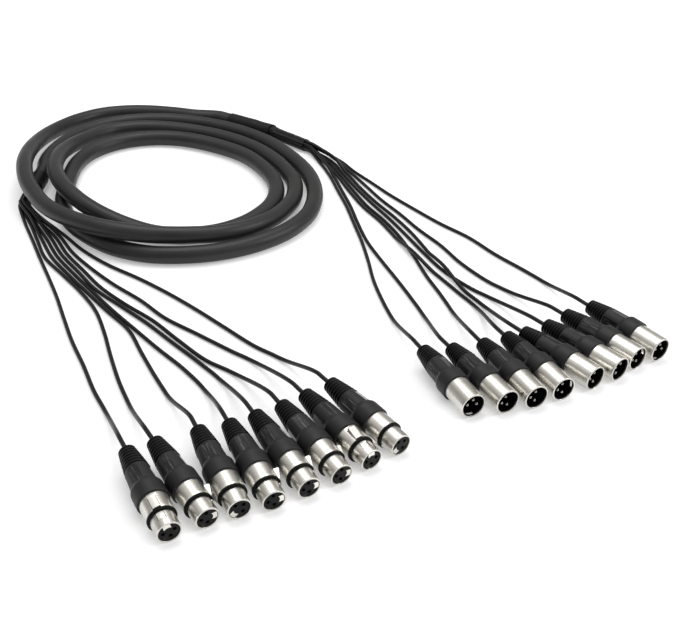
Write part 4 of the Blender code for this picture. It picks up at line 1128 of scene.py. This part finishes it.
def strip(name, outline, half, plug, across=13):
    """A strip cut from a side outline (along, radius), bent so that its top follows the round shell.

    At a distance y from the middle a point of radius r stands at height sqrt(r^2 - y^2).
    """
    along, radius = np.array(outline).T
    y = np.linspace(-half, half, across)[:, None]
    height = np.sqrt(radius ** 2 - y ** 2)
    rings = np.stack((height, y * np.ones_like(height), along * np.ones_like(y)), axis=2)
    rows, columns = rings.shape[:2]
    quads = stack_faces(rows, columns)[0].tolist()
    quads.append(list(range(columns))[::-1])
    quads.append([(rows - 1) * columns + k for k in range(columns)])
    return build(name, placed(rings, plug).reshape(-1, 3), quads, smooth=30)


def latch_outline():
    """Side view of the latch, from its rear underside to its front and back along its top."""
    front = SOCKET_LENGTH - LATCH_FRONT_GAP
    block_rear = front - LATCH_BLOCK_LENGTH
    tongue_top = SOCKET_NOSE_R - LATCH_SINK
    tongue_under = tongue_top - LATCH_THICKNESS
    step_rear = LATCH_TONGUE_END - LATCH_THICKNESS
    lever_under = lever_top() - LATCH_THICKNESS
    block_under = lever_top() - LATCH_BLOCK_HEIGHT
    pad_rear, pad_front = (SOCKET_SHELL_R + proud for proud in LATCH_PAD_PROUD)
    return [(LATCH_REAR, tongue_under), (step_rear, tongue_under), (step_rear, lever_under),
            (block_rear, lever_under), (block_rear, block_under), (front, block_under),
            (front, lever_top()), (LATCH_TONGUE_END, lever_top()), (LATCH_TONGUE_END, tongue_top),
            (LATCH_TOOTH[1], tongue_top), (LATCH_TOOTH[0], tongue_top + LATCH_TOOTH_HEIGHT),
            (LATCH_TOOTH[0], tongue_top), (LATCH_PAD_END, tongue_top), (LATCH_PAD_END, pad_front),
            (LATCH_REAR + HEEL_LENGTH, pad_rear), (LATCH_REAR, pad_rear - HEEL_DROP)]


# %% Socket fronts
RING_R = 0.00965
RING_BORE_R = 0.0092
RING_REAR = 0.0640
RING_FRONT = 0.0661
RING_CORNER = 0.0005
RING_TOUCH = 0.00002
SHELL_ROWS = (0.0580, 0.0620)
NOSE_ROW = 0.0690


def make_socket_front(number, plug, block_master):
    """Shell, ring, contact block and latch of one plug; the latch rides a body of its own."""
    stem = "socket_%d_" % number
    slot = (LATCH_REAR - CLEAR, LATCH_TONGUE_END + CLEAR)
    bore = SOCKET_NOSE_R - SOCKET_NOSE_WALL
    rear = (SOCKET_COLLAR_END - SHELL_HIDDEN, SOCKET_COLLAR_END, slot[0], *SHELL_ROWS)
    nose = (SOCKET_NOSE_START, NOSE_ROW, slot[1], SOCKET_LENGTH - 0.0010, SOCKET_LENGTH)
    rows = [(s, SOCKET_SHELL_R, SOCKET_SHELL_R - 0.0010) for s in rear]
    rows += [(SOCKET_RING_END - 0.0004, SOCKET_SHELL_R, bore),
             (SOCKET_RING_END, SOCKET_SHELL_R - 0.0003, bore)]
    rows += [(s, SOCKET_NOSE_R, bore) for s in nose]
    rows = rolled(rows, SOCKET_RIM_CHAMFER)
    shell = wall(stem + "nickel_shell", rows, plug, LATCH_WIDTH / 2 + CLEAR, (2, 9))
    dress(shell, NICKEL, [stem + "shell"])
    turn = np.linspace(-pi / 2, pi / 2, 9)
    top = RING_R - RING_CORNER + RING_CORNER * np.cos(turn)
    rear_corner = RING_REAR + RING_CORNER * (1 + np.sin(turn[:5]))
    front_corner = RING_FRONT - RING_CORNER * (1 - np.sin(turn[4:]))
    profile = [(RING_REAR, RING_BORE_R), *zip(rear_corner, top[:5]), *zip(front_corner, top[4:]),
               (RING_FRONT, SOCKET_NOSE_R - 0.0001)]
    rings = placed(revolved(profile, AROUND), plug)
    rings[..., 2] = np.maximum(rings[..., 2], RING_TOUCH)
    ring = lofted(stem + "ring", rings, closed=True)
    dress(ring, RING)
    block = copied(block_master, stem + "contact_block", plug)
    dress(block, INSERT)
    latch = strip(stem + "latch", latch_outline(), LATCH_WIDTH / 2, plug)
    edges = latch.modifiers.new("edges", "BEVEL")
    edges.width = LATCH_EDGE
    edges.segments = 2
    edges.limit_method = "ANGLE"
    dress(latch, LATCH_METAL, [stem + "release_latch"], "latch_%d" % number)


block_master = contact_block()
for number, plug in enumerate(socket_frames, 1):
    make_socket_front(number, plug, block_master)
bpy.data.objects.remove(block_master)
print("socket fronts:", len(socket_frames))
